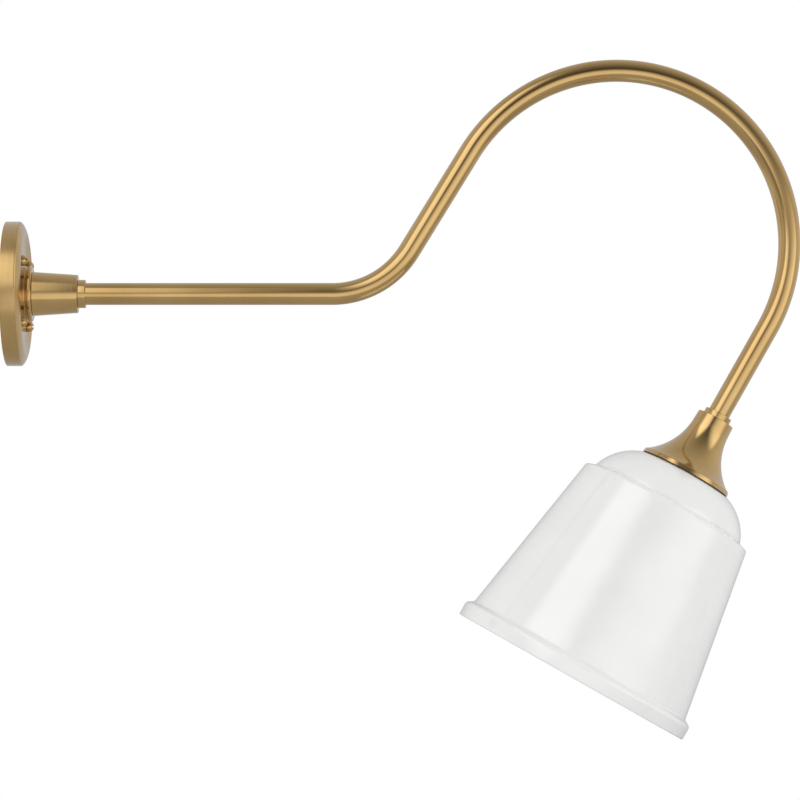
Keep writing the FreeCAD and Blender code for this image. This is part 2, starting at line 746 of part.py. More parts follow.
# --- The whole sconce -------------------------------------------------------------------
def pieces():
    washer_foot = PLATE_FIELD_DEPTH - PLATE_WALL - WASHER_THICK
    plug_top = TUBE_START + PLUG_LENGTH
    return {
        "wall_bracket": wall_bracket(),
        "ground_screw": ground_screw(),
        "backplate": backplate(),
        "backplate_screws": backplate_screws(),
        "hub_base": hub_base(),
        "hub": hub(),
        "hub_collar": placed(collar(HUB_NOSE, HUB_COLLAR_END), WALL_PLACE),
        "wall_end_plug": placed(end_plug(TUBE_START, plug_top), WALL_PLACE),
        "wall_nipple": placed(nipple(WALL_NIPPLE_START, TUBE_START + NIPPLE_GRIP), WALL_PLACE),
        "hub_washer": placed(washer(washer_foot), WALL_PLACE),
        "hub_nut": placed(nut(washer_foot - NUT_THICK), WALL_PLACE),
        "arm_tube": arm_tube(),
        "shade_end_plug": placed(end_plug(TUBE_END, TUBE_END + PLUG_LENGTH), FLANGE_PLACE),
        "holder_collar": placed(collar(HOLDER_TOP, HOLDER_COLLAR_TOP), FLANGE_PLACE),
        "shade_holder": shade_holder(),
        "holder_nipple": placed(nipple(HOLDER_NIPPLE_FOOT, TUBE_END + NIPPLE_GRIP), FLANGE_PLACE),
        "holder_washer": placed(washer(HOLDER_ROOF - WASHER_THICK), FLANGE_PLACE),
        "holder_nut": placed(nut(HOLDER_ROOF - WASHER_THICK - NUT_THICK), FLANGE_PLACE),
        "socket_cap": socket_cap(),
        "socket_body": socket_body(),
        "screw_shell": screw_shell(),
        "centre_contact": centre_contact(),
        "terminal_posts": terminal_posts(),
        "flange_gasket": flange_gasket(),
        "glass_shade": glass_shade(),
        "ring_gasket": ring_gasket(),
        "shade_ring": shade_ring(),
        "live_wire": socket_wire(-1),
        "neutral_wire": socket_wire(1),
        "ground_wire": ground_wire(),
    }


os.makedirs("parts", exist_ok=True)
for name, shape in pieces().items():
    shape.exportStep(f"parts/{name}.step")
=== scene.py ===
"""Looks of the gooseneck wall sconce: lacquered brass arm and plate, cased opal glass shade.

Metres in the scene. The named sizes are millimetres, and MM turns them into metres.
"""

from math import atan2, ceil, cos, pi, radians, sin, sqrt, tan

import bpy
from mathutils import Matrix, Vector


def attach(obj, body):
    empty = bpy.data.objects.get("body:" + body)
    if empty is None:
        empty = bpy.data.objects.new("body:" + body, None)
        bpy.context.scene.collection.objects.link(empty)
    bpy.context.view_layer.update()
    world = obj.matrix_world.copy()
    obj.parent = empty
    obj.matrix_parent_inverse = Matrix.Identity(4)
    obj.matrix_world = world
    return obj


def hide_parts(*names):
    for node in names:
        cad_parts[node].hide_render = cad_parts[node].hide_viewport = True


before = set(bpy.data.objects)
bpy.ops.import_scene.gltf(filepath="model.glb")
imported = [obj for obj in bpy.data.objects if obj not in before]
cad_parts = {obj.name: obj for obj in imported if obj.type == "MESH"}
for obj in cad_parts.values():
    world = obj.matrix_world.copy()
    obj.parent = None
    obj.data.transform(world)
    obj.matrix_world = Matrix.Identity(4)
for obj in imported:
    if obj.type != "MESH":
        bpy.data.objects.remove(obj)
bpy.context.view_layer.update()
MM = 0.001

# --- The photograph's view --------------------------------------------------------------
# 0.87 mm of the arm's plane per pixel. The level view meets that plane at a right angle at
# FOOT, and the wall and the arm's straight run give the place of the frame's origin.
PICTURE_SIZE = 800
PIXEL = 0.87
ORIGIN_PIXEL = (7, 294)
FOOT_PIXEL = (310, 530)
FOCAL_PIXELS = 2700
SENSOR = 36.0

# --- Arm --------------------------------------------------------------------------------
TUBE_R = 9.55
TUBE_WALL = 1.25
TUBE_START = 32.0
STRAIGHT_END = 283.0
ELBOW_R = 78.6
RISE_ANGLE = 58.4
RISE_LENGTH = 100.1
CROOK_R = 150.3
SHADE_TILT = 29.5
CROOK_TO_RIM = 347.9
FLANGE_ABOVE_RIM = 202.4
TUBE_END = 43.5
COLLAR_R = 12.25
SLIP = 0.05

# --- Wall side: distances from the wall -------------------------------------------------
PLATE_R = 62.6
PLATE_RIM_DEPTH = 12.6
PLATE_STEP_R = 61.7
PLATE_STEP_DEPTH = 13.5
PLATE_CREST_R = 53.5
PLATE_CREST_DEPTH = 17.1
PLATE_CREST_WIDTH = 1.0
PLATE_BEVEL_R = 18.0
PLATE_FIELD_R = 45.0
PLATE_FIELD_DEPTH = 14.6
PLATE_FIELD_ROUND = 3.0
PLATE_WALL = 2.4
NIPPLE_HOLE_R = 5.4
NIPPLE_PITCH = 1.0
SCREW_CIRCLE_R = 37.5
SCREW_HOLE_R = 2.3
SCREW_SHANK_R = 2.0
SCREW_HEAD_R = 4.6
SCREW_NECK = 1.6
SCREW_TIP = 0.5
SLOT_WIDTH = 1.3
SLOT_DEPTH = 2.2
SLOT_ANGLES = (8.0, 52.0, -20.0, 84.0)
GROUND_SCREW_Z = 26.0
GROUND_SCREW_TOP = 7.6
GROUND_SLOT_WIDTH = 1.0
GROUND_SLOT_DEPTH = 1.1
GROUND_SLOT_ANGLE = 24.0
BASE_R = 24.2
BASE_DISC_TOP = 17.4
BASE_GROOVE_R = 22.2
BASE_GROOVE = 18.2
BASE_BEAD_FOOT = 19.4
BASE_TOP = 22.7
HUB_ROOT_R = 19.15
HUB_NOSE_R = 16.5
HUB_NOSE = 61.9
HUB_WEB = 26.0
HUB_POCKET_R = 13.0
HUB_COLLAR_END = 68.5
FINE_EDGE = 0.2
BROKEN_EDGE = 0.4
SOFT_EDGE = 0.8
FULL_EDGE = 1.6

# --- Glass shade: distances above the plane of its rim ----------------------------------
LIP_R = 110.75
LIP_TURN = 12.8
LIP_ROUND = 4.5
LIP_FOOT = 16.2
LIP_FOOT_ROUND = 3.0
CONE_FOOT_R = 104.56
CONE_TOP_R = 79.15
CONE_TOP = 169.0
SHOULDER_ROUND = 2.4
DOME_FOOT_R = 71.0
DOME_FOOT = 171.7
DOME_FOOT_ROUND = 1.2
DOME_RISE_START = 1.0
DOME_ARC_R = 47.0
DOME_TOP_R = 42.8
GLASS_TOP = 201.2
GLASS_WALL = 3.6
GLASS_HOLE_R = 21.5
RIM_ROUND = 1.4

# --- Holder and socket: distances above the holder's flange -----------------------------
FLANGE_FOOT_R = 41.6
FLANGE_TOP_R = 40.7
FLANGE_HEIGHT = 3.6
FLANGE_ROUND = 0.9
FLARE_FOOT_R = 38.2
FLARE_FOOT = 5.2
FLARE_ARC_R = 54.0
FLARE_TOP_R = 17.05
FLARE_TOP = 45.5
HOLDER_TOP_R = 16.6
HOLDER_TOP = 55.1
HOLDER_WALL = 2.0
HOLDER_MOUTH_R = 36.0
HOLDER_ROOF = 38.0
HOLDER_COLLAR_TOP = 60.3
GASKET_INNER_R = 30.0
GASKET_OUTER_R = 40.4
RING_GASKET_THICK = 1.0
RING_GASKET_INNER_R = 20.6
RING_GASKET_OUTER_R = 29.0
GASKET_ROUND = 0.3
SKIRT_CORE_R = 18.7
SKIRT_THREAD_R = 19.58
SKIRT_PITCH = 3.0
SKIRT_TURNS = 7
SKIRT_THREAD_FOOT = -26.0
SOCKET_MOUTH = -27.0
SOCKET_BAND_FOOT = -2.5
SOCKET_BAND_R = 19.6
SOCKET_SHOULDER = 8.0
SOCKET_NECK_R = 15.4
SOCKET_TOP = 23.0
SOCKET_BORE_R = 13.75
SOCKET_FLOOR = -1.0
SOCKET_CHAMBER_R = 12.0
SOCKET_CHAMBER_FLOOR = 14.0
SHELL_R = 13.15
SHELL_ROOT_R = 12.25
SHELL_PITCH = 3.63
SHELL_SHEET = 0.4
SHELL_FOOT = -26.0
SHELL_TOP = -5.0
STRIPPED_LEAD = 9.0
LEAD_END = -34.0
WALL_SPACE = 20.0  # the leads in the plate lie nearer to the wall than this

# --- Meshes -----------------------------------------------------------------------------
ROUND_STEPS = 192  # faces round a turned piece
SHADE_STEPS = 256
SCREW_STEPS = 64
HOLE_STEPS = 48
THREAD_STEPS = 64
SHELL_STEPS = 16
TUBE_STEPS = 64
BEND_STEP = radians(2)
ARC_STEP = radians(4)
WELD = 0.002 * MM
SMOOTH_BELOW = radians(35)
FLAT_WITHIN = radians(0.5)
EDGE_ABOVE = radians(50)


def direction(angle):
    """The direction in the arm's plane at this angle above +X, in degrees."""
    return Vector((cos(radians(angle)), 0, sin(radians(angle))))


RISE = direction(RISE_ANGLE)
SHADE_UP = direction(90 - SHADE_TILT)
SHADE_OUT = direction(-SHADE_TILT)
ELBOW_CENTRE = Vector((STRAIGHT_END, 0, ELBOW_R))
ELBOW_END = ELBOW_CENTRE + direction(RISE_ANGLE - 90) * ELBOW_R
CROOK_START = ELBOW_END + RISE * RISE_LENGTH
CROOK_CENTRE = CROOK_START + direction(RISE_ANGLE - 90) * CROOK_R
CROOK_END = CROOK_CENTRE + SHADE_OUT * CROOK_R
RIM_CENTRE = CROOK_END - SHADE_UP * CROOK_TO_RIM
FLANGE_CENTRE = RIM_CENTRE + SHADE_UP * FLANGE_ABOVE_RIM

# A turning axis: a point on it, its direction, and the way in which the outline's radius goes.
WALL_AXIS = (Vector((0, 0, 0)), Vector((1, 0, 0)), Vector((0, 0, 1)))
RIM_AXIS = (RIM_CENTRE, SHADE_UP, SHADE_OUT)
FLANGE_AXIS = (FLANGE_CENTRE, SHADE_UP, SHADE_OUT)

# The tube's centre line: how much of it comes before each run or bend, and where that lies.
ELBOW_RUN = ELBOW_R * radians(RISE_ANGLE)
CROOK_RUN = CROOK_R * radians(RISE_ANGLE + 90 + SHADE_TILT)
RISE_BEFORE = STRAIGHT_END + ELBOW_RUN
CROOK_BEFORE = RISE_BEFORE + RISE_LENGTH
DROP_LENGTH = CROOK_TO_RIM - FLANGE_ABOVE_RIM - TUBE_END
TUBE_RUNS = (
    (0, Vector((0, 0, 0)), 0, STRAIGHT_END),
    (RISE_BEFORE, ELBOW_END, RISE_ANGLE, RISE_LENGTH),
    (CROOK_BEFORE + CROOK_RUN, CROOK_END, -90 - SHADE_TILT, DROP_LENGTH),
)
TUBE_BENDS = (
    (STRAIGHT_END, ELBOW_CENTRE, ELBOW_R, -90, 1),
    (CROOK_BEFORE, CROOK_CENTRE, CROOK_R, RISE_ANGLE + 90, -1),
)


def turning(axis):
    """The turn that takes Z to the axis, and X to the way in which its radius goes."""
    origin, along, outward = axis
    return Matrix((outward, along.cross(outward), along)).transposed().to_euler()


# --- Outlines, as (radius, height) points -----------------------------------------------
def arc_points(start, end, radius, bulge):
    """Points after start, up to end, on the arc that bulges towards the point bulge."""
    start, end = Vector(start), Vector(end)
    chord = end - start
    normal = Vector((chord.y, -chord.x)).normalized()
    if normal.dot(Vector(bulge) - start) > 0:
        normal.negate()
    centre = (start + end) / 2 + normal * sqrt(radius**2 - (chord.length / 2) ** 2)
    first = start - centre
    sweep = first.angle_signed(end - centre)
    count = max(3, ceil(abs(sweep) / ARC_STEP))
    turns = [Matrix.Rotation(-sweep * step / count, 2) for step in range(1, count + 1)]
    return [tuple(centre + turn @ first) for turn in turns]


def rounded(*corners):
    """Outline points from corners given as (radius, height) or (radius, height, round)."""
    points = []
    for index, corner in enumerate(corners):
        here = Vector(corner[:2])
        if len(corner) == 2:
            points.append(tuple(here))
            continue
        back = (Vector(corners[index - 1][:2]) - here).normalized()
        ahead = (Vector(corners[(index + 1) % len(corners)][:2]) - here).normalized()
        reach = corner[2] / tan(back.angle(ahead) / 2)
        start = here + back * reach
        end = here + ahead * reach
        points.append(tuple(start))
        points += arc_points(start, end, corner[2], here)
    return points


# --- Modelling --------------------------------------------------------------------------
def deselect_all():
    bpy.ops.object.select_all(action="DESELECT")


def start_piece(name):
    """Names the primitive that was just added, and opens it with all of it selected."""
    piece = bpy.context.object
    piece.name = name
    piece.data.name = name
    bpy.ops.object.mode_set(mode="EDIT")
    bpy.ops.mesh.select_all(action="SELECT")
    return piece


def close_piece(piece):
    """Welds the seams, turns the faces outwards and smooths what isn't an edge."""
    bpy.ops.mesh.select_all(action="SELECT")
    bpy.ops.mesh.remove_doubles(threshold=WELD)
    bpy.ops.mesh.normals_make_consistent(inside=False)
    bpy.ops.object.mode_set(mode="OBJECT")
    bpy.ops.object.shade_smooth_by_angle(angle=SMOOTH_BELOW)
    return piece


def drawn_line(name, places):
    """One vertex drawn out along the places, in metres, and left open in edit mode."""
    deselect_all()
    bpy.ops.mesh.primitive_circle_add(vertices=3, radius=MM)
    piece = start_piece(name)
    bpy.ops.mesh.merge(type="CENTER")
    bpy.ops.transform.translate(value=places[0])
    for here, following in zip(places, places[1:]):
        bpy.ops.mesh.extrude_region_move(TRANSFORM_OT_translate={"value": following - here})
    bpy.ops.mesh.select_all(action="SELECT")
    return piece


def turned(name, outline, axis, steps=ROUND_STEPS):
    """A turned piece: its closed half outline is drawn and spun round the axis."""
    origin, along, outward = axis
    places = [(origin + along * height + outward * radius) * MM for radius, height in outline]
    piece = drawn_line(name, places + places[:1])
    bpy.ops.mesh.spin(steps=steps, angle=2 * pi, center=origin * MM, axis=along)
    return close_piece(piece)


def wound_up(piece, pitch, turns):
    """Winds the open line up round Z as a thread, and opens the result."""
    bpy.ops.mesh.remove_doubles(threshold=WELD)
    bpy.ops.object.mode_set(mode="OBJECT")
    thread = piece.modifiers.new("thread", "SCREW")
    thread.screw_offset = pitch * MM
    thread.iterations = turns
    thread.steps = THREAD_STEPS
    thread.render_steps = THREAD_STEPS
    bpy.ops.object.modifier_apply(modifier=thread.name)
    bpy.ops.object.mode_set(mode="EDIT")
    bpy.ops.mesh.select_all(action="SELECT")
    bpy.ops.mesh.remove_doubles(threshold=WELD)


def set_on_axis(piece, axis):
    """Takes a piece that was made round Z at the middle to its axis."""
    piece.location = axis[0] * MM
    piece.rotation_euler = turning(axis)
    bpy.ops.object.transform_apply()


def disc(inner_r, outer_r, foot, top, edge):
    return rounded((inner_r, foot), (outer_r, foot, edge), (outer_r, top, edge), (inner_r, top))


def cut_away(piece, cutter):
    """Cuts the solid out of the piece, and removes it."""
    cut = piece.modifiers.new("cut", "BOOLEAN")
    cut.object = cutter
    cut.solver = "EXACT"
    deselect_all()
    piece.select_set(True)
    bpy.context.view_layer.objects.active = piece
    bpy.ops.object.modifier_apply(modifier=cut.name)
    bpy.ops.object.shade_smooth_by_angle(angle=SMOOTH_BELOW)
    bpy.data.objects.remove(cutter)


def cut_slot(piece, crown, angle, size):
    """A driver's slot across a head whose crown is at this place."""
    deselect_all()
    bpy.ops.mesh.primitive_cube_add(
        size=MM, location=crown * MM, rotation=(radians(angle), 0, 0)
    )
    bar = bpy.context.object
    bar.scale = size
    bpy.ops.object.transform_apply()
    cut_away(piece, bar)


def welded_copy(node, name, edge=0.0):
    """A copy of a frame piece, welded into whole faces, with its edges broken."""
    deselect_all()
    piece = bpy.data.objects.new(name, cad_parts[node].data.copy())
    bpy.context.scene.collection.objects.link(piece)
    bpy.context.view_layer.objects.active = piece
    piece.select_set(True)
    start_piece(name)
    bpy.ops.mesh.customdata_custom_splitnormals_clear()
    bpy.ops.mesh.remove_doubles(threshold=WELD)
    if edge:
        bpy.ops.mesh.dissolve_limited(angle_limit=FLAT_WITHIN)
        bpy.ops.object.mode_set(mode="OBJECT")
        chamfer = piece.modifiers.new("broken_edge", "BEVEL")
        chamfer.width = edge * MM
        chamfer.segments = 1
        chamfer.limit_method = "ANGLE"
        chamfer.angle_limit = EDGE_ABOVE
        bpy.ops.object.modifier_apply(modifier=chamfer.name)
    else:
        bpy.ops.object.mode_set(mode="OBJECT")
    bpy.ops.object.shade_smooth_by_angle(angle=SMOOTH_BELOW)
    return piece


def finish_piece(piece, body, slot, material, *nodes):
    """Gives a piece its material and its place in the frame."""
    piece.data.materials.clear()
    piece.data.materials.append(material)
    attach(piece, body)
    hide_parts(*nodes)


# --- Brass pieces -----------------------------------------------------------------------
def straightened(point):
    """A surface point's place on the straightened tube: run, across and inward."""
    flat = Vector((point.x, 0, point.z))
    for before, start, angle, length in TUBE_RUNS:
        run = (flat - start).dot(direction(angle))
        side = (flat - start).dot(direction(angle + 90))
        if -SLIP <= run <= length + SLIP and abs(side) < 2 * TUBE_R:
            return (before + run, point.y, side)
    for before, centre, radius, first, turn in TUBE_BENDS:
        arm = flat - centre
        run = turn * radius * (atan2(arm.z, arm.x) - radians(first))
        side = turn * (radius - arm.length)
        if abs(side) < 2 * TUBE_R:
            return (before + run, point.y, side)
    return (0, point.y, 0)


def arm_tube():
    """A ring drawn out and spun through both bends, then given its wall."""
    deselect_all()
    start = Vector((TUBE_START, 0, 0)) * MM
    bpy.ops.mesh.primitive_circle_add(
        vertices=TUBE_STEPS, radius=TUBE_R * MM, location=start, rotation=(0, pi / 2, 0)
    )
    bpy.ops.object.transform_apply()
    piece = start_piece("bent_arm_tube")

    def draw_out(run):
        bpy.ops.mesh.extrude_region_move(TRANSFORM_OT_translate={"value": run * MM})

    def bend(centre, angle, axis):
        steps = ceil(abs(angle) / BEND_STEP)
        bpy.ops.mesh.spin(steps=steps, angle=angle, center=centre * MM, axis=axis)

    draw_out(Vector((STRAIGHT_END - TUBE_START, 0, 0)))
    bend(ELBOW_CENTRE, radians(RISE_ANGLE), (0, 1, 0))
    draw_out(RISE * RISE_LENGTH)
    bend(CROOK_CENTRE, radians(RISE_ANGLE + 90 + SHADE_TILT), (0, -1, 0))
    draw_out(-SHADE_UP * DROP_LENGTH)
    close_piece(piece)
    wall = piece.modifiers.new("wall", "SOLIDIFY")
    wall.thickness = TUBE_WALL * MM
    wall.offset = -1
    bpy.ops.object.modifier_apply(modifier=wall.name)
    bpy.ops.object.shade_smooth_by_angle(angle=SMOOTH_BELOW)
    place = piece.data.attributes.new("straightened", "FLOAT_VECTOR", "POINT")
    for vertex in piece.data.vertices:
        place.data[vertex.index].vector = straightened(vertex.co / MM)
    return piece


def wall_plate():
    """The dished plate: rim, fine step, full bevel, crest and sunk field, with its holes."""
    bevel_start = (PLATE_STEP_R, PLATE_STEP_DEPTH)
    crest = (PLATE_CREST_R, PLATE_CREST_DEPTH)
    outline = rounded(
        (PLATE_R - PLATE_WALL, 0),
        (PLATE_R, 0, BROKEN_EDGE),
        (PLATE_R, PLATE_RIM_DEPTH, BROKEN_EDGE),
        (PLATE_STEP_R, PLATE_RIM_DEPTH),
        bevel_start,
    )
    outline += arc_points(bevel_start, crest, PLATE_BEVEL_R, (PLATE_R, PLATE_CREST_DEPTH))
    outline += rounded(
        (PLATE_CREST_R, PLATE_CREST_DEPTH),
        (PLATE_CREST_R - PLATE_CREST_WIDTH, PLATE_CREST_DEPTH, SOFT_EDGE),
        (PLATE_FIELD_R, PLATE_FIELD_DEPTH, PLATE_FIELD_ROUND),
        (NIPPLE_HOLE_R, PLATE_FIELD_DEPTH),
        (NIPPLE_HOLE_R, PLATE_FIELD_DEPTH - PLATE_WALL),
        (PLATE_FIELD_R, PLATE_FIELD_DEPTH - PLATE_WALL, PLATE_FIELD_ROUND),
        (PLATE_CREST_R - PLATE_CREST_WIDTH, PLATE_CREST_DEPTH - PLATE_WALL),
        (PLATE_R - PLATE_WALL, PLATE_RIM_DEPTH - PLATE_WALL / 2),
    )[1:]
    plate = turned("stepped_backplate", outline, WALL_AXIS)
    for centre in screw_centres():
        deselect_all()
        bpy.ops.mesh.primitive_cylinder_add(
            vertices=HOLE_STEPS,
            radius=SCREW_HOLE_R * MM,
            depth=4 * PLATE_WALL * MM,
            location=(centre + Vector((PLATE_FIELD_DEPTH, 0, 0))) * MM,
            rotation=(0, pi / 2, 0),
        )
        bpy.ops.object.transform_apply()
        cut_away(plate, bpy.context.object)
    return plate


def hub_moulding():
    outline = rounded(
        (NIPPLE_HOLE_R, PLATE_FIELD_DEPTH),
        (BASE_R, PLATE_FIELD_DEPTH),
        (BASE_R, BASE_DISC_TOP, SOFT_EDGE),
        (BASE_GROOVE_R, BASE_GROOVE, BROKEN_EDGE),
        (BASE_R, BASE_BEAD_FOOT, SOFT_EDGE),
        (BASE_R, BASE_TOP, FULL_EDGE),
        (NIPPLE_HOLE_R, BASE_TOP),
    )
    return turned("hub_moulding", outline, WALL_AXIS)


def hub_sleeve():
    outline = rounded(
        (HUB_POCKET_R, BASE_TOP),
        (HUB_ROOT_R, BASE_TOP, BROKEN_EDGE),
        (HUB_NOSE_R, HUB_NOSE, BROKEN_EDGE),
        (TUBE_R + SLIP, HUB_NOSE),
        (TUBE_R + SLIP, TUBE_START),
        (NIPPLE_HOLE_R, TUBE_START),
        (NIPPLE_HOLE_R, HUB_WEB),
        (HUB_POCKET_R, HUB_WEB),
    )
    return turned("hub_sleeve", outline, WALL_AXIS)


def holder_bell():
    """The bell: flange, flare and neck outside, an even wall inside."""
    flare_foot = (FLARE_FOOT_R, FLARE_FOOT)
    flare_top = (FLARE_TOP_R, FLARE_TOP)
    outline = rounded(
        (HOLDER_MOUTH_R, 0),
        (FLANGE_FOOT_R, 0),
        (FLANGE_TOP_R, FLANGE_HEIGHT, FLANGE_ROUND),
        flare_foot,
    )
    outline += arc_points(flare_foot, flare_top, FLARE_ARC_R, (0, 0))
    outline += rounded(
        flare_top,
        (HOLDER_TOP_R, HOLDER_TOP, BROKEN_EDGE),
        (TUBE_R + SLIP, HOLDER_TOP),
        (TUBE_R + SLIP, TUBE_END),
        (NIPPLE_HOLE_R, TUBE_END),
        (NIPPLE_HOLE_R, HOLDER_ROOF),
    )[1:]
    chord = Vector(flare_top) - Vector(flare_foot)
    away = Vector((chord.y, -chord.x)).normalized()
    middle = (Vector(flare_foot) + Vector(flare_top)) / 2
    centre = middle + away * sqrt(FLARE_ARC_R**2 - (chord.length / 2) ** 2)
    inner_r = FLARE_ARC_R + HOLDER_WALL
    roof_edge = (centre.x - sqrt(inner_r**2 - (centre.y - HOLDER_ROOF) ** 2), HOLDER_ROOF)
    mouth = (HOLDER_MOUTH_R, centre.y - sqrt(inner_r**2 - (centre.x - HOLDER_MOUTH_R) ** 2))
    outline.append(roof_edge)
    outline += arc_points(roof_edge, mouth, inner_r, (0, 0))
    return turned("holder_bell", outline, FLANGE_AXIS)


def screw_centres():
    angles = [radians(45 + 90 * index) for index in range(len(SLOT_ANGLES))]
    return [Vector((0, sin(angle), -cos(angle))) * SCREW_CIRCLE_R for angle in angles]


def plate_screws():
    """Round-head screws, each with its slot sunk by a bar and its rims broken."""
    neck = (SCREW_HEAD_R, PLATE_FIELD_DEPTH + SCREW_NECK)
    crown = neck[1] + SCREW_HEAD_R
    half = rounded(
        (0, SCREW_TIP),
        (SCREW_SHANK_R, SCREW_TIP, BROKEN_EDGE),
        (SCREW_SHANK_R, PLATE_FIELD_DEPTH),
        (SCREW_HEAD_R, PLATE_FIELD_DEPTH, BROKEN_EDGE),
        neck,
    )
    half += arc_points(neck, (0, crown), SCREW_HEAD_R, (SCREW_HEAD_R, crown))
    slot = (2 * SLOT_DEPTH, 3 * SCREW_HEAD_R, SLOT_WIDTH)
    screws = []
    for index, centre in enumerate(screw_centres()):
        axis = (centre, *WALL_AXIS[1:])
        screw = turned(f"plate_screw_{index + 1}", half, axis, steps=SCREW_STEPS)
        cut_slot(screw, centre + Vector((crown, 0, 0)), SLOT_ANGLES[index], slot)
        screws.append((screw, axis))
    return screws


def ground_screw():
    screw = welded_copy("ground_screw", "ground_screw_head", BROKEN_EDGE)
    slot = (2 * GROUND_SLOT_DEPTH, 3 * SCREW_HEAD_R, GROUND_SLOT_WIDTH)
    cut_slot(screw, Vector((GROUND_SCREW_TOP, 0, GROUND_SCREW_Z)), GROUND_SLOT_ANGLE, slot)
    return screw


# --- Glass, porcelain and soft pieces ---------------------------------------------------
def opal_shade():
    """The shade's half outline, up the outside and down the inside."""
    taper = (CONE_FOOT_R - CONE_TOP_R) / (CONE_TOP - LIP_FOOT)
    inner_rim_r = CONE_FOOT_R + taper * LIP_FOOT - GLASS_WALL
    rise_top = DOME_FOOT + DOME_RISE_START
    dome_foot = (DOME_FOOT_R, rise_top)
    dome_top = (DOME_TOP_R, GLASS_TOP)
    inner_foot = (DOME_FOOT_R - GLASS_WALL, rise_top)
    inner_top = (DOME_TOP_R - GLASS_WALL, GLASS_TOP - GLASS_WALL)
    far_out = (LIP_R, GLASS_TOP)
    outline = rounded(
        (inner_rim_r + RIM_ROUND, 0),
        (LIP_R, 0, RIM_ROUND),
        (LIP_R, LIP_TURN, LIP_ROUND),
        (CONE_FOOT_R, LIP_FOOT, LIP_FOOT_ROUND),
        (CONE_TOP_R, CONE_TOP, SHOULDER_ROUND),
        (DOME_FOOT_R, DOME_FOOT, DOME_FOOT_ROUND),
        dome_foot,
    )
    outline += arc_points(dome_foot, dome_top, DOME_ARC_R, far_out)
    outline += [(GLASS_HOLE_R, GLASS_TOP), (GLASS_HOLE_R, GLASS_TOP - GLASS_WALL), inner_top]
    outline += arc_points(inner_top, inner_foot, DOME_ARC_R, far_out)
    outline += rounded(
        inner_foot,
        (inner_foot[0], DOME_FOOT - GLASS_WALL, DOME_FOOT_ROUND),
        (CONE_TOP_R - GLASS_WALL, CONE_TOP - GLASS_WALL, SHOULDER_ROUND),
        (inner_rim_r, 0, RIM_ROUND),
        (inner_rim_r + RIM_ROUND, 0),
    )[1:-1]
    return turned("opal_glass_shade", outline, RIM_AXIS, steps=SHADE_STEPS)


def porcelain_socket():
    """The socket with its plain band above the thread, its bore and its chamber."""
    outline = rounded(
        (0, SOCKET_FLOOR),
        (SOCKET_BORE_R, SOCKET_FLOOR),
        (SOCKET_BORE_R, SOCKET_MOUTH),
        (SKIRT_CORE_R, SOCKET_MOUTH, SOFT_EDGE),
        (SKIRT_CORE_R, SOCKET_BAND_FOOT, BROKEN_EDGE),
        (SOCKET_BAND_R, SOCKET_BAND_FOOT, BROKEN_EDGE),
        (SOCKET_BAND_R, SOCKET_SHOULDER, FULL_EDGE),
        (SOCKET_NECK_R, SOCKET_SHOULDER, SOFT_EDGE),
        (SOCKET_NECK_R, SOCKET_TOP),
        (SOCKET_CHAMBER_R, SOCKET_TOP),
        (SOCKET_CHAMBER_R, SOCKET_CHAMBER_FLOOR),
        (0, SOCKET_CHAMBER_FLOOR),
    )
    return turned("porcelain_socket", outline, FLANGE_AXIS)


def skirt_thread():
    """The coarse round thread on the socket's skirt, sunk a little into it."""
    root_r = SKIRT_CORE_R - SLIP
    half = SKIRT_PITCH / 3
    section = rounded(
        (root_r, -half),
        (SKIRT_THREAD_R, -half / 2, BROKEN_EDGE),
        (SKIRT_THREAD_R, half / 2, BROKEN_EDGE),
        (root_r, half),
    )
    section.append(section[0])
    foot = SKIRT_THREAD_FOOT + half
    places = [Vector((radius, 0, foot + height)) * MM for radius, height in section]
    piece = drawn_line("socket_skirt_thread", places)
    wound_up(piece, SKIRT_PITCH, SKIRT_TURNS)
    bpy.ops.mesh.fill_holes(sides=0)
    close_piece(piece)
    set_on_axis(piece, FLANGE_AXIS)
    return piece


def lamp_shell():
    """Thin sheet rolled to the round lamp thread and cut level at both ends."""
    depth = (SHELL_R - SHELL_ROOT_R) / 2
    start = SHELL_FOOT - SHELL_PITCH
    turns = ceil((SHELL_TOP - start) / SHELL_PITCH)
    places = []
    for step in range(SHELL_STEPS + 1):
        part = step / SHELL_STEPS
        radius = SHELL_R - depth + depth * cos(2 * pi * part)
        places.append(Vector((radius, 0, start + SHELL_PITCH * part)) * MM)
    piece = drawn_line("lamp_screw_shell", places)
    wound_up(piece, SHELL_PITCH, turns)
    bpy.ops.mesh.bisect(
        plane_co=(0, 0, SHELL_FOOT * MM), plane_no=(0, 0, 1), clear_inner=True
    )
    bpy.ops.mesh.select_all(action="SELECT")
    bpy.ops.mesh.bisect(plane_co=(0, 0, SHELL_TOP * MM), plane_no=(0, 0, 1), clear_outer=True)
    close_piece(piece)
    sheet = piece.modifiers.new("sheet", "SOLIDIFY")
    sheet.thickness = SHELL_SHEET * MM
    sheet.offset = 1
    bpy.ops.object.modifier_apply(modifier=sheet.name)
    bpy.ops.object.shade_smooth_by_angle(angle=SMOOTH_BELOW)
    set_on_axis(piece, FLANGE_AXIS)
    return piece


# --- Materials --------------------------------------------------------------------------
# Yellow brass under a clear lacquer, which lays a thin white gloss over the metal's colour.
BRASS = "#CCA96C"
DEEP_BRASS = "#C09B5E"
LACQUERED = {"Metallic": 1.0, "Coat Weight": 0.8, "Coat Roughness": 0.05, "Coat IOR": 1.5}
ADD = {"operation": "ADD"}
MULTIPLY = {"operation": "MULTIPLY"}
SMOOTH = {"interpolation_type": "SMOOTHSTEP"}


def linear(colour):
    """An sRGB hex colour as the linear RGBA that a shader takes."""
    channels = [int(colour[start : start + 2], 16) / 255 for start in (1, 3, 5)]
    bent = [c / 12.92 if c <= 0.04045 else ((c + 0.055) / 1.055) ** 2.4 for c in channels]
    return (*bent, 1.0)


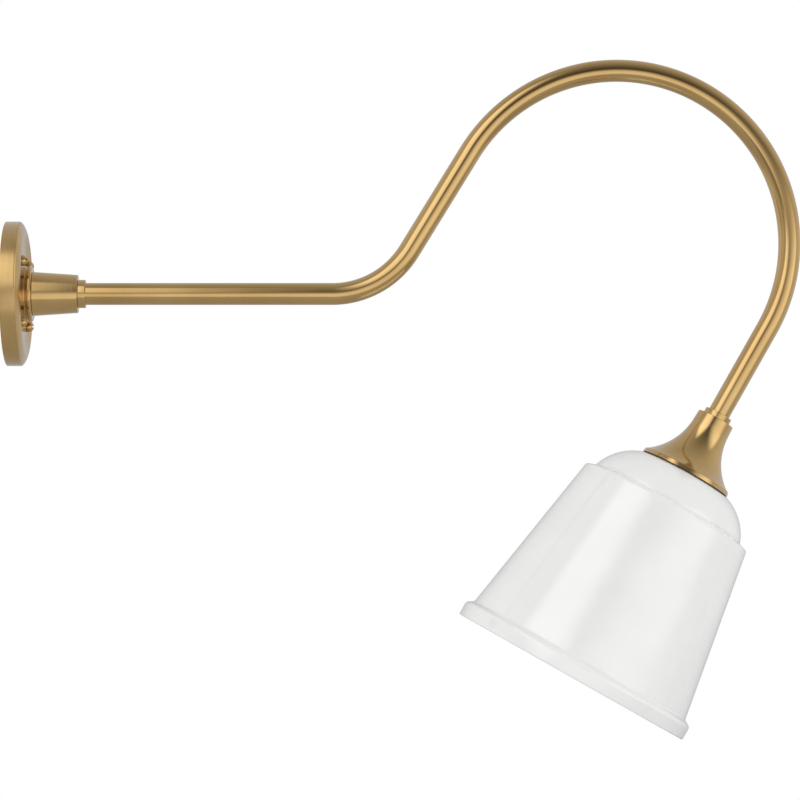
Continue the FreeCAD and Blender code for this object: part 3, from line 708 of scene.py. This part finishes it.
def add_node(tree, kind, settings=None, links=None):
    """Adds a node: settings go to its properties or sockets, links join outputs to sockets."""
    node = tree.nodes.new(kind)
    for name, value in (settings or {}).items():
        if isinstance(name, int) or name in node.inputs:
            node.inputs[name].default_value = value
        else:
            setattr(node, name, value)
    for name, output in (links or {}).items():
        tree.links.new(output, node.inputs[name])
    return node


def new_material(name, settings):
    """A material with one Principled shader."""
    material = bpy.data.materials.new(name)
    material.use_nodes = True
    tree = material.node_tree
    tree.nodes.clear()
    shader = add_node(tree, "ShaderNodeBsdfPrincipled", settings)
    add_node(tree, "ShaderNodeOutputMaterial", links={"Surface": shader.outputs[0]})
    return material, tree, shader


def plain_place(tree):
    """Where the surface is, in millimetres."""
    place = add_node(tree, "ShaderNodeTexCoord").outputs["Object"]
    scaled = {"Scale": (1 / MM, 1 / MM, 1 / MM)}
    return add_node(tree, "ShaderNodeMapping", scaled, {"Vector": place}).outputs[0]


def turned_place(tree, axis):
    """Where the surface is about its turning axis, in millimetres."""
    place = add_node(tree, "ShaderNodeTexCoord").outputs["Object"]
    own = {
        "vector_type": "TEXTURE",
        "Location": axis[0] * MM,
        "Rotation": turning(axis),
        "Scale": (MM, MM, MM),
    }
    return add_node(tree, "ShaderNodeMapping", own, {"Vector": place}).outputs[0]


def lathe_place(tree, own):
    """The place about the axis as (radius, height), for the rings that turning leaves."""
    parts = add_node(tree, "ShaderNodeSeparateXYZ", links={"Vector": own}).outputs
    flat = {"X": parts["X"], "Y": parts["Y"]}
    flat = {0: add_node(tree, "ShaderNodeCombineXYZ", links=flat).outputs[0]}
    radius = add_node(tree, "ShaderNodeVectorMath", {"operation": "LENGTH"}, flat)
    lathe = {"X": radius.outputs["Value"], "Y": parts["Z"]}
    return add_node(tree, "ShaderNodeCombineXYZ", links=lathe).outputs[0]


def uneven(tree, place, size, low=0.0, high=1.0, stretch=(1, 1, 1)):
    """A value that wanders from low to high in patches of this size, in millimetres."""
    spread = {"Scale": [1 / (size * times) for times in stretch]}
    spread = add_node(tree, "ShaderNodeMapping", spread, {"Vector": place}).outputs[0]
    noise = {"Scale": 1.0, "Detail": 2.0}
    noise = add_node(tree, "ShaderNodeTexNoise", noise, {"Vector": spread}).outputs["Fac"]
    spans = {"From Min": 0.3, "From Max": 0.7, "To Min": low, "To Max": high}
    return add_node(tree, "ShaderNodeMapRange", spans, {"Value": noise}).outputs["Result"]


def dress(tree, shader, share, colours, rough, height, depth):
    """Joins up a surface. Its colour goes from the first to the second as the share goes
    to 1, and it is raised by up to this depth, in millimetres, as height goes to 1."""
    toned = {"data_type": "RGBA", 6: linear(colours[0]), 7: linear(colours[1])}
    toned = add_node(tree, "ShaderNodeMix", toned, {0: share}).outputs[2]
    raised = {"Distance": depth * MM}
    raised = add_node(tree, "ShaderNodeBump", raised, {"Height": height}).outputs[0]
    for name, output in (("Base Color", toned), ("Roughness", rough), ("Normal", raised)):
        if output is not None:
            tree.links.new(output, shader.inputs[name])
    return toned


def turned_satin_brass(name, axis, roughness):
    """Brass off the lathe, rubbed with fine abrasive and lacquered: a soft grain of rings
    round the axis, drawn 0.9 mm apart because real ones are too fine to show."""
    material, tree, shader = new_material(name, LACQUERED)
    own = turned_place(tree, axis)
    lathe = lathe_place(tree, own)
    rings = uneven(tree, lathe, 0.9)
    grain = uneven(tree, lathe, 0.9, roughness - 0.04, roughness + 0.04)
    handled = uneven(tree, own, 22.0, -0.02, 0.03)
    rough = add_node(tree, "ShaderNodeMath", ADD, {0: grain, 1: handled}).outputs[0]
    clouds = uneven(tree, own, 30.0)
    dress(tree, shader, clouds, (BRASS, DEEP_BRASS), rough, rings, 0.006)
    return material


def drawn_tube_brass():
    """Drawn brass tube, polished, lightly satined along its run and lacquered: long clean
    highlights with faint lines that follow the bends, drawn 1 mm wide to show."""
    material, tree, shader = new_material("drawn_tube_brass", LACQUERED)
    place = add_node(tree, "ShaderNodeAttribute", {"attribute_name": "straightened"})
    place = place.outputs["Vector"]
    lines = uneven(tree, place, 1.0, stretch=(60, 1, 1))
    grain = uneven(tree, place, 1.0, 0.12, 0.15, stretch=(60, 1, 1))
    handled = uneven(tree, place, 35.0, -0.015, 0.03)
    rough = add_node(tree, "ShaderNodeMath", ADD, {0: grain, 1: handled}).outputs[0]
    clouds = uneven(tree, place, 60.0)
    dress(tree, shader, clouds, (BRASS, DEEP_BRASS), rough, lines, 0.001)
    return material


def polished_screw_brass(name, axis):
    """Headed and tumbled brass screws: bright crowns with small random scuffs."""
    material, tree, shader = new_material(name, {"Metallic": 1.0})
    own = turned_place(tree, axis)
    scuffs = uneven(tree, own, 0.8, 0.12, 0.3)
    worn = uneven(tree, own, 3.0)
    dress(tree, shader, worn, ("#D0AE70", "#B8935A"), scuffs, scuffs, 0.01)
    return material


def machined_brass(name, axis):
    """Bar brass as it leaves the machine, unlacquered and a little dull: clear tool rings."""
    material, tree, shader = new_material(name, {"Metallic": 1.0})
    own = turned_place(tree, axis)
    rings = uneven(tree, lathe_place(tree, own), 0.5)
    rough = uneven(tree, own, 6.0, 0.28, 0.42)
    clouds = uneven(tree, own, 9.0)
    dress(tree, shader, clouds, ("#C9A868", "#A98A55"), rough, rings, 0.01)
    return material


def threaded_brass(name, axis, pitch):
    """Brass rod cut with a fine thread: the helix is in the relief, half a pitch deep."""
    material, tree, shader = new_material(name, {"Metallic": 1.0, "Roughness": 0.32})
    own = turned_place(tree, axis)
    parts = add_node(tree, "ShaderNodeSeparateXYZ", links={"Vector": own}).outputs
    turn = {0: parts["Y"], 1: parts["X"]}
    turn = add_node(tree, "ShaderNodeMath", {"operation": "ARCTAN2"}, turn).outputs[0]
    turn = add_node(tree, "ShaderNodeMath", {"operation": "DIVIDE", 1: 2 * pi}, {0: turn})
    risen = add_node(tree, "ShaderNodeMath", {"operation": "DIVIDE", 1: pitch}, {0: parts["Z"]})
    wound = {0: turn.outputs[0], 1: risen.outputs[0]}
    wound = add_node(tree, "ShaderNodeMath", ADD, wound).outputs[0]
    flank = add_node(tree, "ShaderNodeMath", {"operation": "PINGPONG", 1: 0.5}, {0: wound})
    clouds = uneven(tree, own, 5.0)
    dress(tree, shader, clouds, ("#C9A868", "#A0814E"), None, flank.outputs[0], pitch)
    return material


def zinc_plated_steel():
    """Pressed steel strip with bright zinc: pale blue-grey, with cloudy yellowish patches."""
    material, tree, shader = new_material("zinc_plated_steel", {"Metallic": 1.0})
    place = plain_place(tree)
    rolled = uneven(tree, place, 0.8, stretch=(1, 12, 1))
    clouds = uneven(tree, place, 9.0)
    rough = {
        0: uneven(tree, place, 4.0, 0.28, 0.38),
        1: uneven(tree, place, 0.8, -0.03, 0.03, stretch=(1, 12, 1)),
    }
    rough = add_node(tree, "ShaderNodeMath", ADD, rough).outputs[0]
    dress(tree, shader, clouds, ("#C4C8CC", "#BFBDAF"), rough, rolled, 0.008)
    return material


def green_dyed_steel():
    """A headed steel screw under green dye: thin, uneven green over a metal shine."""
    material, tree, shader = new_material("green_dyed_steel", {"Metallic": 0.75})
    place = plain_place(tree)
    dye = uneven(tree, place, 1.6)
    rough = uneven(tree, place, 1.0, 0.25, 0.4)
    dress(tree, shader, dye, ("#1F7A42", "#3C9659"), rough, dye, 0.01)
    return material


def nickel_plated_sheet():
    """Rolled brass sheet under nickel: warm silver, with small rub marks."""
    material, tree, shader = new_material("nickel_plated_sheet", {"Metallic": 1.0})
    own = turned_place(tree, FLANGE_AXIS)
    rubbed = uneven(tree, own, 1.2, 0.2, 0.34)
    clouds = uneven(tree, own, 5.0)
    dress(tree, shader, clouds, ("#D3CDBF", "#BDB5A4"), rubbed, rubbed, 0.02)
    return material


def glazed_porcelain():
    """Pressed porcelain under a clear glaze: creamy white, wet gloss over a faint swell."""
    settings = {"Coat Weight": 1.0, "Coat Roughness": 0.03, "Coat IOR": 1.5}
    material, tree, shader = new_material("glazed_porcelain", settings)
    place = plain_place(tree)
    swell = uneven(tree, place, 5.0)
    rough = uneven(tree, place, 3.0, 0.12, 0.22)
    clouds = uneven(tree, place, 8.0)
    dress(tree, shader, clouds, ("#ECE9E1", "#E3DED2"), rough, swell, 0.04)
    return material


def cased_opal_glass():
    """Blown white glass cased in clear: an even white that the light sinks into a little,
    under sharp reflections that the mould's slight waves bend."""
    settings = {
        "IOR": 1.5,
        "Subsurface Weight": 0.2,
        "Subsurface Radius": (1.0, 1.0, 1.0),
        "Subsurface Scale": 2.5 * MM,
        "Coat Weight": 1.0,
        "Coat IOR": 1.5,
        "Coat Roughness": 0.02,
    }
    material, tree, shader = new_material("cased_opal_glass", settings)
    own = turned_place(tree, RIM_AXIS)
    waves = uneven(tree, own, 24.0, stretch=(1, 1, 2.5))
    rough = uneven(tree, own, 30.0, 0.05, 0.1)
    clouds = uneven(tree, own, 45.0)
    dress(tree, shader, clouds, ("#F5F5F4", "#F1F1F0"), rough, waves, 0.05)
    return material


def silicone_rubber(name, colour, bloomed):
    """Cut from a calendered rubber sheet: matt, with a dusty bloom and a fine print."""
    material, tree, shader = new_material(name, {})
    place = plain_place(tree)
    printed = uneven(tree, place, 0.5)
    rough = uneven(tree, place, 2.0, 0.6, 0.85)
    bloom = uneven(tree, place, 4.0)
    dress(tree, shader, bloom, (colour, bloomed), rough, printed, 0.02)
    return material


def moulded_phenolic():
    """Compression-moulded phenolic: ivory, with faint flow clouds and a soft sheen."""
    material, tree, shader = new_material("moulded_phenolic", {"IOR": 1.55})
    own = turned_place(tree, FLANGE_AXIS)
    flow = uneven(tree, own, 3.0, stretch=(1, 1, 3))
    rough = uneven(tree, own, 2.0, 0.3, 0.42)
    pitted = uneven(tree, own, 0.8)
    dress(tree, shader, flow, ("#E4DAC0", "#D8CBAA"), rough, pitted, 0.01)
    return material


def insulated_lead(name, colour, worn):
    """Extruded insulation over stranded copper, stripped to the strands at the wall end."""
    material, tree, shader = new_material(name, {})
    place = plain_place(tree)
    parts = add_node(tree, "ShaderNodeSeparateXYZ", links={"Vector": place}).outputs
    below = {"operation": "LESS_THAN", 1: LEAD_END + STRIPPED_LEAD}
    below = add_node(tree, "ShaderNodeMath", below, {0: parts["Z"]}).outputs[0]
    behind = {"operation": "LESS_THAN", 1: WALL_SPACE}
    behind = add_node(tree, "ShaderNodeMath", behind, {0: parts["X"]}).outputs[0]
    bare = add_node(tree, "ShaderNodeMath", MULTIPLY, {0: below, 1: behind}).outputs[0]
    clouds = uneven(tree, place, 6.0)
    rough = uneven(tree, place, 2.5, 0.3, 0.45)
    drawn = uneven(tree, place, 0.5, stretch=(1, 1, 8))
    sleeve = dress(tree, shader, clouds, (colour, worn), rough, drawn, 0.03)
    both = {"data_type": "RGBA", 7: linear("#C07A4E")}
    both = add_node(tree, "ShaderNodeMix", both, {0: bare, 6: sleeve}).outputs[2]
    tree.links.new(both, shader.inputs["Base Color"])
    tree.links.new(bare, shader.inputs["Metallic"])
    return material


def bare_copper():
    """Annealed copper wire: salmon metal with brown air-darkened patches."""
    material, tree, shader = new_material("bare_copper", {"Metallic": 1.0})
    place = plain_place(tree)
    darkened = uneven(tree, place, 4.0)
    rough = uneven(tree, place, 3.0, 0.25, 0.45)
    drawn = uneven(tree, place, 0.6, stretch=(1, 8, 1))
    dress(tree, shader, darkened, ("#D08A60", "#93583A"), rough, drawn, 0.02)
    return material


# --- Studio, in metres ------------------------------------------------------------------
# As a light, the room's level in a direction is ROOM_LEVEL, plus ROOM_SLOPE times the
# direction, plus ROOM_CURVE times its square: nearly dark behind the camera, bright beside
# the sconce, and in between above, below and behind it.
ROOM_LEVEL = 0.74
ROOM_SLOPE = (-0.01, 0.19, 0.08)
ROOM_CURVE = (0.0, -0.51, -0.32)
FILL = 0.65  # how much more of the room reaches matt surfaces than shows in the glossy ones
BACKDROP_SHARE = 0.2  # of the white backdrop in what the glossy surfaces reflect
FLOOR_CENTRE = (0.35, 0, -1.0)
FLOOR_R = 3.0
FLOOR_WHOLE_R = 1.5  # from here out to its edge the floor fades away
FLOOR_COLOUR = "#9C9C9C"
FLOOR_GLOW = 0.76  # brings the lit floor up to the white of the backdrop where it is seen
FLOOR_BOUNCE = 0.35  # what the floor gives the matt surfaces beyond what it shows
# Each box: azimuth from the camera's side towards +X, height and roll, in degrees, its
# distance from STUDIO_MIDDLE, its width and height, its faded edge, and its level.
STUDIO_MIDDLE = Vector((0.40, 0, 0))
UPPER_LEFT_BOX = (-31, 30, -19, 2.1, (1.95, 2.70), 0.65, 1.35)
LOWER_RIGHT_BOX = (24, -11, 80, 1.4, (1.80, 3.70), 0.8, 1.05)


def photograph_camera():
    """The camera that gives the photograph's frame: level, square to the arm's plane."""
    data = bpy.data.cameras.new("photograph")
    camera = bpy.data.objects.new("photograph", data)
    bpy.context.scene.collection.objects.link(camera)
    data.sensor_width = SENSOR
    data.lens = SENSOR * FOCAL_PIXELS / PICTURE_SIZE
    data.shift_x = (PICTURE_SIZE / 2 - FOOT_PIXEL[0]) / PICTURE_SIZE
    data.shift_y = (FOOT_PIXEL[1] - PICTURE_SIZE / 2) / PICTURE_SIZE
    across = (FOOT_PIXEL[0] - ORIGIN_PIXEL[0]) * PIXEL
    down = (FOOT_PIXEL[1] - ORIGIN_PIXEL[1]) * PIXEL
    camera.location = Vector((across, -FOCAL_PIXELS * PIXEL, -down)) * MM
    camera.rotation_euler = (pi / 2, 0, 0)
    bpy.context.scene.camera = camera


def softbox(name, azimuth, height, roll, distance, size, fade, level):
    """A lamp behind a diffuser that dims towards its edges, turned to the sconce's middle.

    The level is the diffuser's own brightness, where 1 is a white card.
    """
    data = bpy.data.lights.new(name, "AREA")
    data.shape = "RECTANGLE"
    data.size, data.size_y = size
    data.energy = level * pi * data.size * data.size_y
    data.use_nodes = True
    tree = data.node_tree
    tree.nodes.clear()
    place = {"Vector": add_node(tree, "ShaderNodeNewGeometry").outputs["Parametric"]}
    parts = add_node(tree, "ShaderNodeSeparateXYZ", links=place).outputs
    shares = {}
    for index, length in enumerate(size):
        away = {"operation": "SUBTRACT", 1: 0.5}
        away = add_node(tree, "ShaderNodeMath", away, {0: parts[index]}).outputs[0]
        away = add_node(tree, "ShaderNodeMath", {"operation": "ABSOLUTE"}, {0: away}).outputs[0]
        edge = {"From Min": 0.5, "From Max": 0.5 - fade / length, **SMOOTH}
        shares[index] = add_node(tree, "ShaderNodeMapRange", edge, {"Value": away}).outputs[0]
    both = add_node(tree, "ShaderNodeMath", MULTIPLY, shares).outputs[0]
    glow = add_node(tree, "ShaderNodeEmission", links={"Strength": both})
    add_node(tree, "ShaderNodeOutputLight", links={"Surface": glow.outputs[0]})
    lamp = bpy.data.objects.new(name, data)
    bpy.context.scene.collection.objects.link(lamp)
    azimuth, height = radians(azimuth), radians(height)
    toward = Vector((sin(azimuth) * cos(height), -cos(azimuth) * cos(height), sin(height)))
    across = Vector((0, 0, 1)).cross(-toward).normalized()
    upward = (-toward).cross(across)
    turn = Matrix.Rotation(radians(roll), 3, -toward)
    sides = Matrix((turn @ across, -(turn @ upward), toward)).transposed()
    lamp.location = STUDIO_MIDDLE + toward * distance
    lamp.rotation_euler = sides.to_euler()
    lamp.visible_camera = False
    lamp.visible_transmission = False


def seen_share(tree, settings=None, links=None):
    """1 for a ray that looks at the backdrop straight or through glass.

    A glossy ray gets the share that is set or linked at 1.
    """
    path = add_node(tree, "ShaderNodeLightPath").outputs
    straight = {0: path["Is Camera Ray"], 1: path["Is Transmission Ray"]}
    straight = add_node(tree, "ShaderNodeMath", ADD, straight).outputs[0]
    glossy = {0: path["Is Glossy Ray"], **(links or {})}
    glossy = add_node(tree, "ShaderNodeMath", {**MULTIPLY, **(settings or {})}, glossy)
    both = {0: straight, 1: glossy.outputs[0]}
    return add_node(tree, "ShaderNodeMath", {**ADD, "use_clamp": True}, both).outputs[0]


def studio_world():
    """White where it is looked at, and as a light a pale room, dark behind the camera."""
    world = bpy.data.worlds.new("studio")
    bpy.context.scene.world = world
    world.use_nodes = True
    tree = world.node_tree
    tree.nodes.clear()
    way = add_node(tree, "ShaderNodeTexCoord").outputs["Generated"]
    squares = add_node(tree, "ShaderNodeVectorMath", MULTIPLY, {0: way, 1: way}).outputs[0]
    slope = {"operation": "DOT_PRODUCT", 1: ROOM_SLOPE}
    slope = add_node(tree, "ShaderNodeVectorMath", slope, {0: way}).outputs["Value"]
    curve = {"operation": "DOT_PRODUCT", 1: ROOM_CURVE}
    curve = add_node(tree, "ShaderNodeVectorMath", curve, {0: squares}).outputs["Value"]
    level = add_node(tree, "ShaderNodeMath", {**ADD, 1: ROOM_LEVEL}, {0: slope}).outputs[0]
    level = add_node(tree, "ShaderNodeMath", ADD, {0: level, 1: curve}).outputs[0]
    path = add_node(tree, "ShaderNodeLightPath").outputs
    filled = {"operation": "MULTIPLY_ADD", 1: FILL, 2: 1.0}
    filled = add_node(tree, "ShaderNodeMath", filled, {0: path["Is Diffuse Ray"]}).outputs[0]
    level = add_node(tree, "ShaderNodeMath", MULTIPLY, {0: level, 1: filled}).outputs[0]
    room = add_node(tree, "ShaderNodeBackground", {"Color": (1, 1, 1, 1)}, {"Strength": level})
    white = add_node(tree, "ShaderNodeBackground", {"Color": (1, 1, 1, 1), "Strength": 1.0})
    behind = add_node(tree, "ShaderNodeSeparateXYZ", links={"Vector": way}).outputs["Y"]
    sweep = {"To Min": 0.0, "To Max": BACKDROP_SHARE}
    sweep = add_node(tree, "ShaderNodeMapRange", sweep, {"Value": behind}).outputs[0]
    mixed = {0: seen_share(tree, links={1: sweep}), 1: room.outputs[0], 2: white.outputs[0]}
    mixed = add_node(tree, "ShaderNodeMixShader", links=mixed)
    add_node(tree, "ShaderNodeOutputWorld", links={"Surface": mixed.outputs[0]})


def studio_floor():
    """A round pale floor, which fades out at its edge and is clear from below."""
    deselect_all()
    bpy.ops.mesh.primitive_plane_add(size=2 * FLOOR_R, location=FLOOR_CENTRE)
    floor = bpy.context.object
    floor.name = "studio_floor"
    settings = {
        "Base Color": linear(FLOOR_COLOUR),
        "Roughness": 0.9,
        "Emission Color": (1, 1, 1, 1),
    }
    material, tree, shader = new_material("pale_floor", settings)
    seen = {0: seen_share(tree, {1: BACKDROP_SHARE})}
    seen = add_node(tree, "ShaderNodeMath", {**MULTIPLY, 1: FLOOR_GLOW}, seen).outputs[0]
    bounce = {0: add_node(tree, "ShaderNodeLightPath").outputs["Is Diffuse Ray"]}
    bounce = add_node(tree, "ShaderNodeMath", {**MULTIPLY, 1: FLOOR_BOUNCE}, bounce).outputs[0]
    glow = add_node(tree, "ShaderNodeMath", ADD, {0: seen, 1: bounce}).outputs[0]
    tree.links.new(glow, shader.inputs["Emission Strength"])
    far = {0: add_node(tree, "ShaderNodeTexCoord").outputs["Object"]}
    far = add_node(tree, "ShaderNodeVectorMath", {"operation": "LENGTH"}, far).outputs["Value"]
    fade = {"From Min": FLOOR_R, "From Max": FLOOR_WHOLE_R, **SMOOTH}
    fade = add_node(tree, "ShaderNodeMapRange", fade, {"Value": far}).outputs[0]
    side = {1: add_node(tree, "ShaderNodeNewGeometry").outputs["Backfacing"]}
    front = add_node(tree, "ShaderNodeMath", {"operation": "SUBTRACT", 0: 1.0}, side).outputs[0]
    there = add_node(tree, "ShaderNodeMath", MULTIPLY, {0: fade, 1: front}).outputs[0]
    clear = add_node(tree, "ShaderNodeBsdfTransparent").outputs[0]
    mixed = {0: there, 1: clear, 2: shader.outputs[0]}
    mixed = add_node(tree, "ShaderNodeMixShader", links=mixed).outputs[0]
    output = next(node for node in tree.nodes if node.type == "OUTPUT_MATERIAL")
    tree.links.new(mixed, output.inputs["Surface"])
    floor.data.materials.append(material)


def build_studio():
    photograph_camera()
    studio_world()
    studio_floor()
    softbox("upper_left_box", *UPPER_LEFT_BOX)
    softbox("lower_right_box", *LOWER_RIGHT_BOX)
    bpy.context.scene.view_settings.view_transform = "Standard"


# --- The sconce -------------------------------------------------------------------------
def build_wall_side():
    plate_brass = turned_satin_brass("satin_plate_brass", WALL_AXIS, roughness=0.28)
    hub_brass = turned_satin_brass("turned_hub_brass", WALL_AXIS, roughness=0.16)
    inner_brass = machined_brass("machined_wall_brass", WALL_AXIS)
    nipple_brass = threaded_brass("threaded_wall_nipple", WALL_AXIS, NIPPLE_PITCH)
    zinc = zinc_plated_steel()
    finish_piece(wall_plate(), "fixture", "satin_brass", plate_brass, "backplate")
    finish_piece(hub_moulding(), "fixture", "turned_brass", hub_brass, "hub_base")
    finish_piece(hub_sleeve(), "fixture", "turned_brass", hub_brass, "hub")
    collar = disc(TUBE_R + SLIP, COLLAR_R, HUB_NOSE, HUB_COLLAR_END, BROKEN_EDGE)
    collar = turned("hub_ring", collar, WALL_AXIS)
    finish_piece(collar, "fixture", "turned_brass", hub_brass, "hub_collar")
    for screw, axis in plate_screws():
        brass = polished_screw_brass(f"{screw.name}_brass", axis)
        finish_piece(screw, "fixture", "screw_brass", brass, "backplate_screws")
    for node, name, slot, material in (
        ("wall_bracket", "strap_bracket", "zinc_steel", zinc),
        ("hub_washer", "hub_clamp_washer", "zinc_steel", zinc),
        ("hub_nut", "hub_clamp_nut", "plain_brass", inner_brass),
        ("wall_end_plug", "wall_tube_plug", "plain_brass", inner_brass),
        ("wall_nipple", "wall_threaded_nipple", "plain_brass", nipple_brass),
    ):
        finish_piece(welded_copy(node, name, FINE_EDGE), "fixture", slot, material, node)
    finish_piece(ground_screw(), "fixture", "green_steel", green_dyed_steel(), "ground_screw")


def build_arm():
    finish_piece(arm_tube(), "fixture", "tube_brass", drawn_tube_brass(), "arm_tube")
    black = insulated_lead("black_insulated_lead", "#1C1C1D", "#2A2928")
    white = insulated_lead("white_insulated_lead", "#E2E0D8", "#D3D0C4")
    for node, name, slot, material in (
        ("live_wire", "black_lead", "black_wire", black),
        ("neutral_wire", "white_lead", "white_wire", white),
        ("ground_wire", "copper_lead", "copper_wire", bare_copper()),
    ):
        finish_piece(welded_copy(node, name), "fixture", slot, material, node)


def build_shade_side():
    bell_brass = turned_satin_brass("turned_bell_brass", FLANGE_AXIS, roughness=0.11)
    inner_brass = machined_brass("machined_socket_brass", FLANGE_AXIS)
    nipple_brass = threaded_brass("threaded_holder_nipple", FLANGE_AXIS, NIPPLE_PITCH)
    nickel = nickel_plated_sheet()
    porcelain = glazed_porcelain()
    zinc = bpy.data.materials["zinc_plated_steel"]
    collar = disc(TUBE_R + SLIP, COLLAR_R, HOLDER_TOP, HOLDER_COLLAR_TOP, BROKEN_EDGE)
    collar = turned("holder_ring", collar, FLANGE_AXIS)
    finish_piece(collar, "fixture", "turned_brass", bell_brass, "holder_collar")
    finish_piece(holder_bell(), "fixture", "turned_brass", bell_brass, "shade_holder")
    finish_piece(porcelain_socket(), "fixture", "porcelain", porcelain, "socket_body")
    finish_piece(skirt_thread(), "fixture", "porcelain", porcelain, "socket_body")
    finish_piece(lamp_shell(), "fixture", "nickel_shell", nickel, "screw_shell")
    for node, name, slot, material in (
        ("socket_cap", "drawn_socket_cap", "nickel_shell", nickel),
        ("shade_end_plug", "shade_tube_plug", "plain_brass", inner_brass),
        ("holder_nipple", "holder_threaded_nipple", "plain_brass", nipple_brass),
        ("holder_washer", "holder_clamp_washer", "zinc_steel", zinc),
        ("holder_nut", "holder_clamp_nut", "plain_brass", inner_brass),
        ("centre_contact", "spring_contact", "plain_brass", inner_brass),
        ("terminal_posts", "wire_terminals", "plain_brass", inner_brass),
    ):
        finish_piece(welded_copy(node, name, FINE_EDGE), "fixture", slot, material, node)
    dark = silicone_rubber("dark_silicone", "#3A3936", "#4C4A45")
    pale = silicone_rubber("pale_silicone", "#C9C5BA", "#D6D3CA")
    glass_top = GLASS_TOP - FLANGE_ABOVE_RIM
    under_glass = glass_top - GLASS_WALL
    upper = disc(GASKET_INNER_R, GASKET_OUTER_R, glass_top, 0, GASKET_ROUND)
    upper = turned("upper_gasket", upper, FLANGE_AXIS)
    finish_piece(upper, "fixture", "gasket", dark, "flange_gasket")
    lower = disc(
        RING_GASKET_INNER_R,
        RING_GASKET_OUTER_R,
        under_glass - RING_GASKET_THICK,
        under_glass,
        GASKET_ROUND,
    )
    lower = turned("lower_gasket", lower, FLANGE_AXIS)
    finish_piece(lower, "shade", "gasket", pale, "ring_gasket")
    finish_piece(opal_shade(), "shade", "opal_glass", cased_opal_glass(), "glass_shade")
    ring = welded_copy("shade_ring", "finger_ring", BROKEN_EDGE)
    finish_piece(ring, "ring", "ring_plastic", moulded_phenolic(), "shade_ring")


build_studio()
build_wall_side()
build_arm()
build_shade_side()
